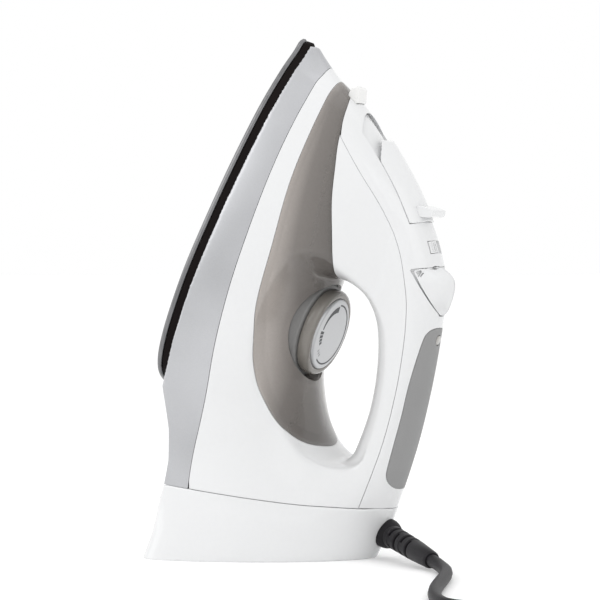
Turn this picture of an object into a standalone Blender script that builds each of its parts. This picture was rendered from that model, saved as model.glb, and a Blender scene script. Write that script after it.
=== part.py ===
"""A steam iron standing on its heel, with its mains lead laid on the same surface.

The iron is drawn lying on its soleplate, in millimetres: s runs back from the tip of the
soleplate, y to the iron's left, h up from the soleplate's face. An empty then stands it on its
heel, so that the world's +Z is up, z = 0 is the surface, and the handle points to +X.
"""
import math

import bmesh
import bpy
from mathutils import Matrix, Vector

MM = 0.001
GAP = 0.3             # clearance between touching pieces
WALL = 2.5            # shell thickness
COVER_WALL = 4.2      # the handle cover is thicker, to hold the grip
GRIP_DEPTH = 1.8

# how the iron stands
TILT = math.radians(19.0)     # soleplate from the vertical
TIP_HEIGHT = 293.2            # soleplate tip above the surface
STAND_X = -8.94                # places the iron's box over the origin

# driving dimensions of the iron
SOLE_THICKNESS = 3.2
SHIELD_TOP = 8.2
BODY_BOTTOM = 8.5
HANDLE_HALF = 18.5            # half the handle's width, and its crown radius
SIDE_TOP = 98.0               # height where the flanks have drawn in to the handle
HEEL_HALF = 57.0              # half width of the rear body
HEEL_FLARE = 4.0              # widening of the heel towards the surface
UNDERSIDE = 26.5              # height of the heel's underside
DIAL_S = 153.0
DIAL_R = 25.2
NEEDLE_S = 84.0
PUMP_S = 106.0
PUMP_Y = 8.5
PRESS = 2.0                   # travel of the two buttons
SLIDER_S = 85.0
SLIDER_RADIUS = 23.0          # radius on which the slider swings across the crown
SLIDER_REST = 10.5            # degrees from the crown to the slider's closed place
DOOR_SINK = 1.1                  # how far the fill cover reaches into its track
DOOR_HALF = 14.6              # half width of the fill cover
TRACK_DEPTH = 3.5             # depth of the track that the fill cover slides in
LENS_S = 134.0
CLAMP_S = 269.2
CLAMP_SCREW_Y = 9.0

# the mains lead, world frame
LEAD_R = 3.5
BUSH_S = 246.7
BUSH_H = 140.8
BUSH_R = 8.5
GUARD_LENGTH = 58.0
GUARD_START = 7.5
RIB_PITCH = 8.4
GUARD_WAY = Vector((0.70, -0.70, -0.13)).normalized()
COIL_CENTRE = Vector((242.83, 2.89, 8.65))
COIL_R = 38.65
COIL_HALF_WIDTH = 14.15
COIL_HALF_HEIGHT = 7.1
COIL_CORNER = 3.0
TIE_WALL = 1.0
TIE_HALF = 4.0                # half width of the strap
BLADE_APART = 12.7
PLUG_SHAPE = [(0.0, 5.0, 4.6), (3.0, 6.4, 6.0), (12.0, 12.6, 7.8), (27.0, 13.0, 8.2), (30.0, 12.2, 7.6)]
ACROSS = Vector((0.9063, 0.4226, 0.0))      # level, across the lead's first direction
NEAR = Vector((0.4226, -0.9063, 0.0))       # level, square to ACROSS

# soleplate outline, s and half width
SOLE = [(0.0, 0.0), (2.0, 3.4), (8.0, 7.0), (20.0, 16.2), (44.0, 30.0), (80.0, 44.4), (115.0, 55.2),
        (139.0, 60.8), (162.0, 62.9), (178.0, 62.3), (190.0, 59.3), (199.0, 53.0), (205.0, 42.0),
        (208.0, 25.0), (209.0, 0.0)]
# half width of the body at its foot
FOOT = [(0.0, 2.2), (2.0, 4.6), (8.0, 8.6), (20.0, 17.4), (44.0, 31.3), (80.0, 46.0), (115.0, 57.0),
        (139.0, 62.4), (162.0, 64.6), (178.0, 64.2), (200.0, 61.0), (230.0, 58.0), (260.0, HEEL_HALF),
        (320.0, HEEL_HALF)]
# top of the body on the centre plane, s and h
TOP = [(0.0, 9.2), (4.0, 14.0), (9.4, 21.2), (15.4, 30.3), (19.4, 38.6), (25.0, 49.0), (31.0, 58.0),
       (40.0, 69.4), (55.0, 87.8), (68.0, 102.6), (80.0, 113.2), (95.0, 123.3), (110.0, 129.4),
       (126.0, 133.2), (160.0, 138.2), (196.0, 141.0), (236.0, 140.3), (262.0, 137.5), (320.0, 126.0)]
STATIONS = [1.0, 4.0, 9.0, 15.0, 22.0, 30.0, 40.0, 52.0, 64.0, 76.0, 90.0, 105.0, 122.0, 140.0, 160.0,
            178.0, 195.0, 210.0, 222.0, 234.0, 246.0, 260.0, 275.0, 290.0, 306.0]
# fill cover in side view, s and h
DOOR_OUTLINE = [(38.6, 66.0), (39.4, 69.6), (51.8, 76.4), (64.0, 86.0), (78.0, 98.4), (76.6, 102.2),
                (72.6, 108.6), (66.0, 107.0), (57.0, 97.0), (48.0, 86.5), (40.8, 77.0), (38.4, 72.6)]
LIP_OUTLINE = [(66.2, 101.5), (65.4, 110.6), (66.4, 111.9), (68.4, 112.1), (69.8, 111.0), (71.2, 107.0),
               (71.0, 104.4)]
# height of the fill cover's middle over its edges, s and height
DOOR_BULGE = [(36.0, 5.0), (48.0, 5.0), (57.0, 4.4), (65.0, 3.0), (71.0, 1.8), (80.0, 1.6)]
# twin buttons: half width where they meet the crown, height of the middle, height of the shoulder
BUTTON_HALF = [(95.0, 6.0), (96.2, 11.0), (97.6, 14.6), (99.6, 16.9), (103.0, 16.4), (107.0, 15.0),
               (111.0, 12.8), (115.0, 9.6), (118.0, 6.0), (120.2, 2.4)]
BUTTON_TOP = [(95.0, 123.6), (96.2, 127.2), (97.6, 130.6), (99.6, 133.0), (103.0, 134.4), (107.0, 134.9),
              (111.0, 135.0), (115.0, 134.8), (118.0, 134.2), (120.2, 132.8)]
BUTTON_SHOULDER = [(95.0, 121.8), (96.2, 122.6), (97.6, 123.8), (99.6, 125.2), (103.0, 127.6),
                   (107.0, 129.6), (111.0, 130.9), (115.0, 131.8), (118.0, 132.2), (120.2, 132.0)]
# nozzle block in side view, s and h
NOZZLE_OUTLINE = [(21.8, 40.2), (19.4, 40.4), (17.0, 41.1), (15.2, 44.4), (16.2, 45.8), (20.6, 46.9),
                  (23.6, 47.8), (25.4, 45.0), (24.2, 41.6)]
# seams between the shells, s and h
SKIRT_SEAM = [(-6.0, 21.6), (9.0, 22.8), (60.0, 24.3), (120.0, 28.0), (183.0, 32.5), (227.0, 36.0),
              (254.0, 41.0)]
HEEL_SEAM = [(257.4, 18.0), (256.4, 27.0), (253.4, 42.0), (249.2, 63.0), (245.7, 81.0), (241.7, 101.0),
             (238.2, 115.0), (234.7, 129.0), (231.7, 139.5), (230.5, 160.0)]
HANDLE_SEAM = [(43.0, 51.3), (57.0, 68.3), (69.0, 83.0), (79.0, 93.0), (88.0, 100.5), (97.0, 106.6),
               (111.0, 113.8), (121.0, 117.8), (135.0, 121.5), (151.0, 124.5), (168.0, 126.8),
               (190.0, 128.4), (219.0, 128.6), (234.7, 128.4)]
TANK_LOW = [(2.0, 29.5), (15.0, 31.5), (24.0, 33.3), (45.0, 35.0), (75.0, 37.5), (110.0, 42.0),
            (141.0, 45.0), (157.0, 48.0), (171.0, 51.0), (180.0, 54.0), (187.5, 57.5), (194.0, 62.0),
            (200.0, 67.0), (204.5, 72.0), (208.0, 77.5), (210.5, 82.5), (212.0, 87.5), (212.5, 93.0)]
TANK_HIGH = [(2.0, 37.0), (17.0, 39.0), (21.0, 41.3), (27.0, 44.8), (37.0, 48.6), (48.0, 51.8),
             (61.0, 56.3), (77.0, 61.3), (93.0, 67.0), (103.0, 70.4), (109.0, 72.4), (114.0, 73.0),
             (124.0, 73.0)]
UNDERLINE = [(201.8, 4.0), (203.0, 8.5), (226.0, 19.0), (243.0, 24.5), (256.4, UNDERSIDE)]
# finger opening on the centre plane, s and h, clockwise from its low front corner
OPENING = [(124.0, 66.6), (150.0, 66.3), (176.0, 70.2), (190.5, 75.5), (203.0, 82.8), (210.8, 90.0),
           (214.8, 97.0), (215.5, 103.5), (211.5, 108.0), (203.0, 109.6), (182.0, 110.0), (159.0, 106.5),
           (138.0, 99.5), (126.0, 90.5), (121.0, 81.0), (120.5, 71.0)]
GRIP_OUTLINE = [(124.5, 150.0), (124.8, 139.0), (127.0, 133.6), (130.5, 131.2), (137.0, 130.6),
                (161.0, 131.6), (180.0, 133.2), (205.0, 134.4), (214.0, 135.4), (218.6, 138.6),
                (219.6, 142.0), (219.6, 150.0)]


# ---------------------------------------------------------------- scene and materials

def clear_scene():
    for obj in list(bpy.data.objects):
        bpy.data.objects.remove(obj, do_unlink=True)


def material(name, colour, roughness, metallic=0.0, alpha=1.0):
    mat = bpy.data.materials.new(name)
    mat.use_nodes = True
    shader = mat.node_tree.nodes["Principled BSDF"]
    shader.inputs["Base Color"].default_value = (*colour, 1.0)
    shader.inputs["Roughness"].default_value = roughness
    shader.inputs["Metallic"].default_value = metallic
    shader.inputs["Alpha"].default_value = alpha
    mat.diffuse_color = (*colour, alpha)
    return mat


def make_materials():
    return {
        "white": material("white_plastic", (0.86, 0.87, 0.88), 0.25),
        "silver": material("silver_paint", (0.56, 0.57, 0.60), 0.35, 0.6),
        "black": material("black_plastic", (0.03, 0.03, 0.035), 0.5),
        "sole": material("polished_steel", (0.40, 0.40, 0.41), 0.3, 0.9),
        "smoke": material("smoke_tank", (0.30, 0.28, 0.26), 0.15, 0.0, 0.6),
        "grip": material("soft_grip", (0.30, 0.30, 0.30), 0.7),
        "taupe": material("dial_ring", (0.33, 0.31, 0.29), 0.25),
        "face": material("dial_face", (0.70, 0.71, 0.72), 0.35, 0.7),
        "charcoal": material("cord_rubber", (0.035, 0.034, 0.037), 0.6),
        "steel": material("bare_steel", (0.55, 0.55, 0.56), 0.3, 1.0),
        "brass": material("brass", (0.72, 0.55, 0.27), 0.3, 1.0),
        "rubber": material("silicone", (0.62, 0.55, 0.46), 0.6),
        "inner": material("inner_plastic", (0.72, 0.70, 0.66), 0.5),
        "lens": material("lens", (0.75, 0.20, 0.12), 0.1),
    }


# ---------------------------------------------------------------- placing

def at(s, y, h):
    """A point of the iron, in its own lying frame."""
    return Vector((-s, y, h)) * MM


def stand_matrix():
    sine = math.sin(TILT)
    cosine = math.cos(TILT)
    turn = Matrix(((sine, 0, cosine, STAND_X * MM), (0, -1, 0, 0), (cosine, 0, -sine, TIP_HEIGHT * MM),
                   (0, 0, 0, 1)))
    return turn


def make_stand():
    stand = bpy.data.objects.new("stand", None)
    bpy.context.scene.collection.objects.link(stand)
    stand.matrix_world = stand_matrix()
    return stand


def add(name, bm, mat, pivot=None, angle=30.0, world=False):
    """Turns a bmesh into a named object, its origin on the pivot, standing with the iron."""
    bmesh.ops.recalc_face_normals(bm, faces=bm.faces)
    mesh = bpy.data.meshes.new(name)
    bm.to_mesh(mesh)
    bm.free()
    obj = bpy.data.objects.new(name, mesh)
    bpy.context.scene.collection.objects.link(obj)
    if pivot is not None:
        mesh.transform(Matrix.Translation(-pivot))
        obj.location = pivot
    if not world:
        obj.parent = STAND
    finish_mesh(obj, mat, angle)
    return obj


def finish_mesh(obj, mat, angle=30.0):
    obj.data.materials.clear()
    obj.data.materials.append(mat)
    obj.data.shade_smooth()
    obj.data.set_sharp_from_angle(angle=math.radians(angle))


def combine(obj, other, operation, keep=False, solver="EXACT"):
    """Cuts, joins or keeps the common part of two solids, and removes the second."""
    bpy.context.view_layer.update()
    mod = obj.modifiers.new("shape", "BOOLEAN")
    mod.operation = operation
    mod.object = other
    mod.solver = solver
    graph = bpy.context.evaluated_depsgraph_get()
    mesh = bpy.data.meshes.new_from_object(obj.evaluated_get(graph))
    obj.modifiers.clear()
    obj.data = mesh
    if not keep:
        bpy.data.objects.remove(other, do_unlink=True)
    return obj


def cut(obj, other, keep=False, solver="EXACT"):
    return combine(obj, other, "DIFFERENCE", keep, solver)


def common(obj, other, keep=False, solver="EXACT"):
    return combine(obj, other, "INTERSECT", keep, solver)


def join(obj, other):
    return combine(obj, other, "UNION")


def copy_of(obj, name, mat):
    twin = obj.copy()
    twin.data = obj.data.copy()
    twin.name = name
    bpy.context.scene.collection.objects.link(twin)
    finish_mesh(twin, mat)
    return twin


# ---------------------------------------------------------------- curves and profiles

def along(points, x):
    """Smooth curve through (x, value) points, read at x."""
    count = len(points)
    index = 0
    while index < count - 2 and x > points[index + 1][0]:
        index += 1
    (x0, v0), (x1, v1) = points[index], points[index + 1]
    before = points[max(index - 1, 0)]
    after = points[min(index + 2, count - 1)]
    width = x1 - x0
    slope0 = (v1 - before[1]) / max(x1 - before[0], 1e-9)
    slope1 = (after[1] - v0) / max(after[0] - x0, 1e-9)
    t = min(max((x - x0) / width, 0.0), 1.0)
    a = (2 * t ** 3 - 3 * t ** 2 + 1) * v0 + (t ** 3 - 2 * t ** 2 + t) * width * slope0
    return a + (3 * t ** 2 - 2 * t ** 3) * v1 + (t ** 3 - t ** 2) * width * slope1


def step(x, low, high):
    t = min(max((x - low) / (high - low), 0.0), 1.0)
    return t * t * (3 - 2 * t)


def rounded(points, per_span, closed=False):
    """Catmull-Rom curve through points of any size."""
    count = len(points)
    spans = count if closed else count - 1
    out = []
    for i in range(spans):
        p1 = Vector(points[i])
        p2 = Vector(points[(i + 1) % count])
        p0 = Vector(points[i - 1]) if closed or i > 0 else p1 * 2 - p2
        p3 = Vector(points[(i + 2) % count]) if closed or i + 2 < count else p2 * 2 - p1
        for j in range(per_span):
            t = j / per_span
            out.append(0.5 * (2 * p1 + (p2 - p0) * t + (2 * p0 - 5 * p1 + 4 * p2 - p3) * t * t
                              + (3 * p1 - p0 - 3 * p2 + p3) * t ** 3))
    if not closed:
        out.append(Vector(points[-1]))
    return out


def offset(points, distance):
    """Moves a closed outline outward by a distance, whichever way round it runs."""
    area = sum(a[0] * b[1] - b[0] * a[1] for a, b in zip(points, points[1:] + points[:1]))
    side = 1.0 if area > 0 else -1.0
    out = []
    count = len(points)
    for i in range(count):
        a = Vector(points[i - 1])
        b = Vector(points[i])
        c = Vector(points[(i + 1) % count])
        before = (b - a).normalized()
        after = (c - b).normalized()
        n0 = Vector((before.y, -before.x)) * side
        n1 = Vector((after.y, -after.x)) * side
        middle = (n0 + n1).normalized()
        out.append(tuple(b + middle * distance / max(middle.dot(n1), 0.4)))
    return out


# ---------------------------------------------------------------- solids

def rings_solid(rings):
    """Closed solid through equal rings of points, capped at both ends."""
    bm = bmesh.new()
    loops = [[bm.verts.new(p) for p in ring] for ring in rings]
    for low, high in zip(loops, loops[1:]):
        for i in range(len(low)):
            j = (i + 1) % len(low)
            bm.faces.new((low[i], low[j], high[j], high[i]))
    bm.faces.new(loops[0])
    bm.faces.new(loops[-1])
    return bm


def prism(outline, y0, y1):
    """Side outline (s, h) drawn out across the iron."""
    return rings_solid([[at(s, y, h) for s, h in outline] for y in (y0, y1)])


def slab(outline, h0, h1):
    """Plan outline (s, y) drawn up from h0 to h1."""
    return rings_solid([[at(s, y, h) for s, y in outline] for h in (h0, h1)])


def box(s, y, h, chamfer=0.6):
    """Block between two values each of s, y and h, with softened edges."""
    bm = slab([(s[0], y[0]), (s[1], y[0]), (s[1], y[1]), (s[0], y[1])], h[0], h[1])
    if chamfer:
        bmesh.ops.bevel(bm, geom=bm.edges, offset=chamfer * MM, segments=1, affect="EDGES")
    return bm


def lathe(profile, sides, placed=None):
    """Turned solid: profile of (radius, height) from one end to the other."""
    rings = []
    for radius, height in profile:
        rings.append([Vector((radius * math.cos(2 * math.pi * i / sides),
                              radius * math.sin(2 * math.pi * i / sides), height)) * MM
                      for i in range(sides)])
    bm = rings_solid(rings)
    if placed is not None:
        bm.transform(placed)
    return bm


def ring_of(profile, sides, placed=None):
    """Turned ring: closed profile of (radius, height)."""
    bm = bmesh.new()
    loops = []
    for i in range(sides):
        a = 2 * math.pi * i / sides
        loops.append([bm.verts.new(Vector((r * math.cos(a), r * math.sin(a), h)) * MM) for r, h in profile])
    for i in range(sides):
        low = loops[i]
        high = loops[(i + 1) % sides]
        for j in range(len(profile)):
            k = (j + 1) % len(profile)
            bm.faces.new((low[j], low[k], high[k], high[j]))
    if placed is not None:
        bm.transform(placed)
    return bm


def upright(s, y, h=0.0):
    """Placement of a turned piece whose axis is square to the soleplate."""
    return Matrix.Translation(at(s, y, h))


def aimed(point, way):
    """Placement of a turned piece whose axis points along a direction."""
    turn = way.to_track_quat("Z", "Y").to_matrix().to_4x4()
    return Matrix.Translation(point) @ turn


def tube(name, points, radius, mat, resolution=2, world=False):
    """Round tube through points, with filled ends."""
    data = bpy.data.curves.new(name, "CURVE")
    data.dimensions = "3D"
    data.bevel_depth = radius * MM
    data.bevel_resolution = resolution
    data.use_fill_caps = True
    data.resolution_u = 1
    spline = data.splines.new("POLY")
    spline.points.add(len(points) - 1)
    for item, point in zip(spline.points, points):
        item.co = (*point, 1.0)
    obj = bpy.data.objects.new(name, data)
    bpy.context.scene.collection.objects.link(obj)
    data.materials.append(mat)
    if not world:
        obj.parent = STAND
    return obj


def even(points, spacing):
    """The same path with its points evenly spaced."""
    fine = rounded(points, 24)
    lengths = [0.0]
    for a, b in zip(fine, fine[1:]):
        lengths.append(lengths[-1] + (b - a).length)
    count = max(2, round(lengths[-1] / spacing))
    out = []
    index = 0
    for i in range(count + 1):
        want = lengths[-1] * i / count
        while index < len(fine) - 2 and lengths[index + 1] < want:
            index += 1
        span = lengths[index + 1] - lengths[index]
        out.append(fine[index].lerp(fine[index + 1], (want - lengths[index]) / max(span, 1e-12)))
    return out


# ---------------------------------------------------------------- the body's form

def flank(s, h):
    """Half width of the body at one place, without its crown."""
    foot = along(FOOT, s)
    top = along(TOP, s)
    rise = min(max((h - 8.0) / (SIDE_TOP - 8.0), 0.0), 1.0)
    if foot > HANDLE_HALF:
        width = HANDLE_HALF + (foot - HANDLE_HALF) * (1 - rise ** 1.8) ** 1.3
    else:
        width = foot
    lean = min(max((h - BODY_BOTTOM) / max(top - BODY_BOTTOM, 1.0), 0.0), 1.0)
    return width * (1 - 0.3 * lean * (1 - step(s, 20.0, 80.0)))


def rear_flank(s, h):
    """Half width of the heel end, which is egg-shaped and flares towards the surface."""
    top = along(TOP, s)
    half = HEEL_HALF + HEEL_FLARE * max((s - 250.0) / 40.0, 0.0) ** 1.3
    high = min(max((h - 45.0) / (top - 45.0), 0.0), 1.0)
    low = min(max((45.0 - h) / 27.0, 0.0), 0.96)
    corner = 1 - step(s, 255.0, 290.0) * (1 - (1 - low ** 3) ** (1 / 3))
    return half * (1 - high ** 1.8) ** (1 / 1.8) * corner


def section(s, inset, rise, bottom):
    """Half section of the body at s: (y, h) from the bottom centre to the top centre."""
    full_top = along(TOP, s)
    top = full_top + rise - inset
    crown = min(HANDLE_HALF - 0.5, 0.8 * (full_top - BODY_BOTTOM))
    spring_h = full_top + rise - crown
    reach = max(crown - inset, 0.8)
    rear = step(s, 195.0, 255.0)
    levels = [bottom + (spring_h - bottom) * i / 6 for i in range(7)]
    angles = [math.radians(a) for a in (18, 36, 54, 70, 81)]
    places = [(h, 1.0) for h in levels]
    places += [(top - reach + reach * math.sin(a), math.cos(a)) for a in angles]
    out = [(0.0, bottom)]
    for h, crowned in places:
        body = max(flank(s, h - rise) - inset, 0.5) * crowned
        heel = max(rear_flank(s, h) - inset, 0.5)
        out.append((body * (1 - rear) + heel * rear, h))
    out.append((0.0, top))
    return out


def form(inset=0.0, rise=0.0, bottom=BODY_BOTTOM, name="form"):
    """The whole outer form of the body, moved in by inset and up by rise."""
    rings = []
    for s in STATIONS:
        if along(FOOT, s) <= inset + 1.5 or along(TOP, s) - BODY_BOTTOM <= inset + 3.0:
            continue
        half = section(s + (inset if s < 20 else 0), inset, rise, bottom)
        left = [at(s, y, h) for y, h in half]
        right = [at(s, -y, h) for y, h in half[-2:0:-1]]
        rings.append(left + right)
    return add(name, rings_solid(rings), MATERIALS["white"])


def opening_reach(y):
    """How far the opening's front, rear, floor and ceiling move outward at a distance from the centre."""
    y = abs(y)
    floor = 0.5 * (math.sqrt(15.0 ** 2 + y * y) - 15.0)
    ceiling = ease_out(y, HANDLE_HALF, 13.0)
    front = ease_out(y, 30.0, 11.0)
    rear = ease_out(y, 36.0, 9.0)
    return front, rear, floor, ceiling


def ease_out(y, half, reach):
    """Quarter-round edge of a bar of given half width."""
    t = min(y / half, 0.985)
    return reach * (1 - math.sqrt(1 - t * t)) + max(y - half, 0.0) * 0.8


def opening_cutter(grow, name="opening"):
    """Solid of the finger opening, with its edges rounded over towards both flanks."""
    outline = [tuple(p) for p in rounded(OPENING, 2, closed=True)]
    grown = offset(outline, grow) if grow else outline
    normals = [(Vector(b) - Vector(a)).normalized() for a, b in zip(outline, offset(outline, 1.0))]
    halves = [0.0, 6.0, 11.0, 15.0, 17.6, 19.6, 24.0, 30.0, 38.0, 47.0, 58.0, 72.0]
    rings = []
    for y in [-v for v in halves[:0:-1]] + halves:
        front, rear, floor, ceiling = opening_reach(y)
        ring = []
        for (s, h), n in zip(grown, normals):
            move_s = n.x * (rear if n.x > 0 else front)
            move_h = n.y * (ceiling if n.y > 0 else floor)
            ring.append(at(s + move_s, y, h + move_h))
        rings.append(ring)
    return add(name, rings_solid(rings), MATERIALS["white"])


def region(outline, name="region"):
    return add(name, prism(outline, -90.0, 90.0), MATERIALS["white"])


def tank_outline():
    return TANK_LOW + TANK_HIGH[::-1]


def make_shells():
    mats = MATERIALS
    whole = cut(form(), opening_cutter(0.0))
    hollow = cut(form(WALL, 0.0, 4.0, "hollow"), opening_cutter(WALL))

    skirt = common(copy_of(whole, "skirt", mats["silver"]), region(
        [(-6.0, 4.0)] + UNDERLINE + [(253.4, 41.0)] + SKIRT_SEAM[-2::-1]))
    inner = [(-6.0, 2.0), (200.5, 2.0), (201.2, 11.0), (226.0, 21.8), (243.0, 27.2), (262.0, 29.6),
             (262.0, 60.0), (-6.0, 60.0)]
    cut(skirt, common(copy_of(hollow, "skirt_room", mats["silver"]), region(inner)))

    gap = [(s, h + GAP) for s, h in SKIRT_SEAM]
    heel_side = [(s - GAP, h) for s, h in HEEL_SEAM[2:8]]
    handle = [(s, h - GAP) for s, h in HANDLE_SEAM]
    main = common(copy_of(whole, "main_body", mats["white"]), region(
        gap[:-1] + heel_side + [(234.4, 128.1)] + handle[-2::-1]
        + [(30.0, 42.0), (18.0, 36.0), (-6.0, 33.0)]))
    cut(main, region(offset(tank_outline(), GAP)))
    cut(main, hollow, keep=True)

    tank = common(copy_of(whole, "water_tank", mats["smoke"]), region(tank_outline()))
    room = common(copy_of(hollow, "tank_room", mats["smoke"]), region(offset(tank_outline(), -WALL)))
    cut(room, add("dial_column", lathe([(7.5, 0), (7.5, 90)], 16, upright(DIAL_S, 0)), mats["smoke"]))
    seat = add("seat_floor", lathe([(31.0, 53.3), (31.0, 90.0)], 24, upright(DIAL_S, 0)), mats["smoke"])
    cut(room, seat)
    cut(tank, room)
    pocket = add("pocket", lathe([(28.0, 56.0), (28.0, 90.0)], 32, upright(DIAL_S, 0)), mats["smoke"])
    cut(tank, pocket)
    for s, radius in ((DIAL_S, 4.2), (NEEDLE_S, 2.4), (62.0, 4.6)):
        low = 50.0 if s == 62.0 else 20.0
        bore = add("bore", lathe([(radius, low), (radius, 90.0)], 12, upright(s, 0)), mats["smoke"])
        cut(tank, bore, solver="MANIFOLD")

    cover_room = cut(form(COVER_WALL, 0.0, 4.0, "cover_room"), opening_cutter(COVER_WALL))
    high = [(s, h + GAP) for s, h in TANK_HIGH[:5]]
    cover = common(copy_of(whole, "handle_cover", mats["white"]), region(
        high + HANDLE_SEAM[:-1] + [(234.4, 128.4), (231.4, 139.5), (230.2, 160.0), (-6.0, 160.0)]))
    cut(cover, cover_room)
    return whole, hollow, skirt, main, tank, cover


def make_heel():
    """Heel base: slightly proud of the body, with a flat foot and a closed floor."""
    mats = MATERIALS
    foot_line = [(s_on_surface(150.0), 150.0), (s_on_surface(UNDERSIDE), UNDERSIDE)]
    seam = [(s, h) for s, h in HEEL_SEAM[1:]]
    outline = [(256.7, UNDERSIDE)] + seam[1:-1] + [(231.0, 150.0)] + foot_line
    heel = common(form(-0.8, 0.0, 15.0, "heel_base"), region(outline), solver="MANIFOLD")
    finish_mesh(heel, mats["white"])
    inner = [(240.0, 150.0), (225.0, 150.0), (225.0, 29.2), (s_on_surface(29.2) - 2.7, 29.2),
             (s_on_surface(150.0) - 2.7, 150.0)]
    room = common(form(WALL - 0.8, 0.0, 15.0, "heel_room"), region(inner), solver="MANIFOLD")
    cut(heel, room, solver="MANIFOLD")
    cut_ball_seat(heel)


def cut_ball_seat(obj):
    """Round seat for the swivel ball, and the notch that the strain relief leaves by."""
    ball = add("ball_seat", sphere(BUSH_R + GAP, 24, 12, at(BUSH_S, 0, BUSH_H)), MATERIALS["white"])
    cut(obj, ball, solver="MANIFOLD")
    placed = aimed(world_point(at(BUSH_S, 0, BUSH_H)), GUARD_WAY)
    notch = lathe([(6.9, 5.2), (8.6, 9.0), (13.0, 22.0)], 24, placed)
    cut(obj, add("notch", notch, MATERIALS["white"], world=True), solver="MANIFOLD")


def s_on_surface(h):
    """Where the surface that the iron stands on meets the height h."""
    return (TIP_HEIGHT - h * math.sin(TILT)) / math.cos(TILT)


def sphere(radius, segments, rows, centre):
    bm = bmesh.new()
    bmesh.ops.create_uvsphere(bm, u_segments=segments, v_segments=rows, radius=radius * MM)
    bm.transform(Matrix.Translation(centre))
    return bm


# ---------------------------------------------------------------- foot of the iron

def plan(inset, per_span=2):
    """Closed soleplate outline, moved in by inset."""
    half = rounded(SOLE, per_span)
    left = [(p.x, p.y) for p in half]
    right = [(p.x, -p.y) for p in half[-2:0:-1]]
    return offset(left + right, -inset) if inset else left + right


def make_soleplate():
    low = plan(0.0)
    bm = rings_solid([[at(s, y, h) for s, y in ring] for ring, h in
                      ((plan(1.0), 0.0), (low, 1.2), (low, SOLE_THICKNESS))])
    plate = add("soleplate", bm, MATERIALS["sole"])
    for s, y in steam_holes():
        cut(plate, add("vent", lathe([(1.6, -2.0), (1.6, 6.0)], 8, upright(s, y)), MATERIALS["sole"]))
    return plate


def steam_holes():
    """Vents in two rows that follow the outline, and one at the nose."""
    holes = [(26.0, 0.0)]
    for i in range(5):
        s = 45.0 + 22.0 * i
        reach = along(SOLE, s) - 12.0
        holes += [(s, reach), (s, -reach)]
    return holes


def drawn_in(inset):
    """Soleplate outline made smaller without crossing itself: it draws in further at the nose."""
    length = SOLE[-1][0]
    front = 2.5 * inset
    long = (length - front - inset) / length
    wide = 1 - inset / max(half for s, half in SOLE)
    return [(front + s * long, y * wide) for s, y in plan(0.0, 1)]


def make_heat_shield():
    rings = [(0.6, 3.5), (0.6, SHIELD_TOP), (9.0, SHIELD_TOP), (9.0, 14.0), (10.5, 12.4), (10.5, 3.5)]
    loops = [[at(s, y, h) for s, y in (plan(inset, 1) if inset < 1 else drawn_in(inset))]
             for inset, h in rings]
    bm = bmesh.new()
    verts = [[bm.verts.new(p) for p in loop] for loop in loops]
    count = len(verts[0])
    for low, high in [(0, 1), (1, 2), (2, 3), (4, 5), (5, 0)]:
        for i in range(count):
            j = (i + 1) % count
            bm.faces.new((verts[low][i], verts[low][j], verts[high][j], verts[high][i]))
    bm.faces.new(verts[3])
    bm.faces.new(verts[4])
    shield = add("heat_shield", bm, MATERIALS["black"])
    holes = [(DIAL_S, 0.0, 4.5), (NEEDLE_S, 0.0, 5.2), (186.0, 30.0, 3.0), (186.0, -30.0, 3.0)]
    for s, y, radius in holes:
        hole = add("hole", lathe([(radius, 9.0), (radius, 20.0)], 12, upright(s, y)), MATERIALS["black"])
        cut(shield, hole)
    return shield


def make_heater():
    reach = 31.0
    points = [at(184, reach, 7.0), at(140, reach, 7.0), at(100, 27, 7.0), at(74, 18, 7.0), at(60, 8, 7.0),
              at(55, 0, 7.0), at(60, -8, 7.0), at(74, -18, 7.0), at(100, -27, 7.0), at(140, -reach, 7.0),
              at(184, -reach, 7.0)]
    return tube("heating_element", even(points, 10.0 * MM), 3.2, MATERIALS["steel"])


def make_steam_chamber():
    outline = [(66.0, 4.0), (80.0, 12.0), (104.0, 20.0), (138.0, 22.0), (138.0, -22.0), (104.0, -20.0),
               (80.0, -12.0), (66.0, -4.0)]
    lid = add("steam_chamber_cover", slab(outline, 3.6, 7.6), MATERIALS["steel"])
    inlet = lathe([(2.4, 0.0), (2.4, 12.0)], 12, upright(NEEDLE_S, 0))
    return cut(lid, add("inlet", inlet, MATERIALS["steel"]))


def make_thermostat():
    mats = MATERIALS
    add("thermostat_base", box((144.0, 166.0), (-9.0, 9.0), (3.6, 9.6)), mats["inner"])
    add("thermostat_blade", box((167.0, 190.0), (-4.0, 4.0), (5.0, 6.2), 0.2), mats["brass"])
    shaft = [(2.9, 10.0), (2.9, 62.8), (2.2, 63.8)]
    add("thermostat_shaft", lathe(shaft, 16, upright(DIAL_S, 0)), mats["steel"], at(DIAL_S, 0, 30))
    fuse = lathe([(2.4, -9.0), (2.4, 9.0)], 12, aimed(at(176.0, -17.0, 6.4), Vector((1, 0, 0))))
    add("thermal_fuse", fuse, mats["inner"])


# ---------------------------------------------------------------- dial

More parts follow.
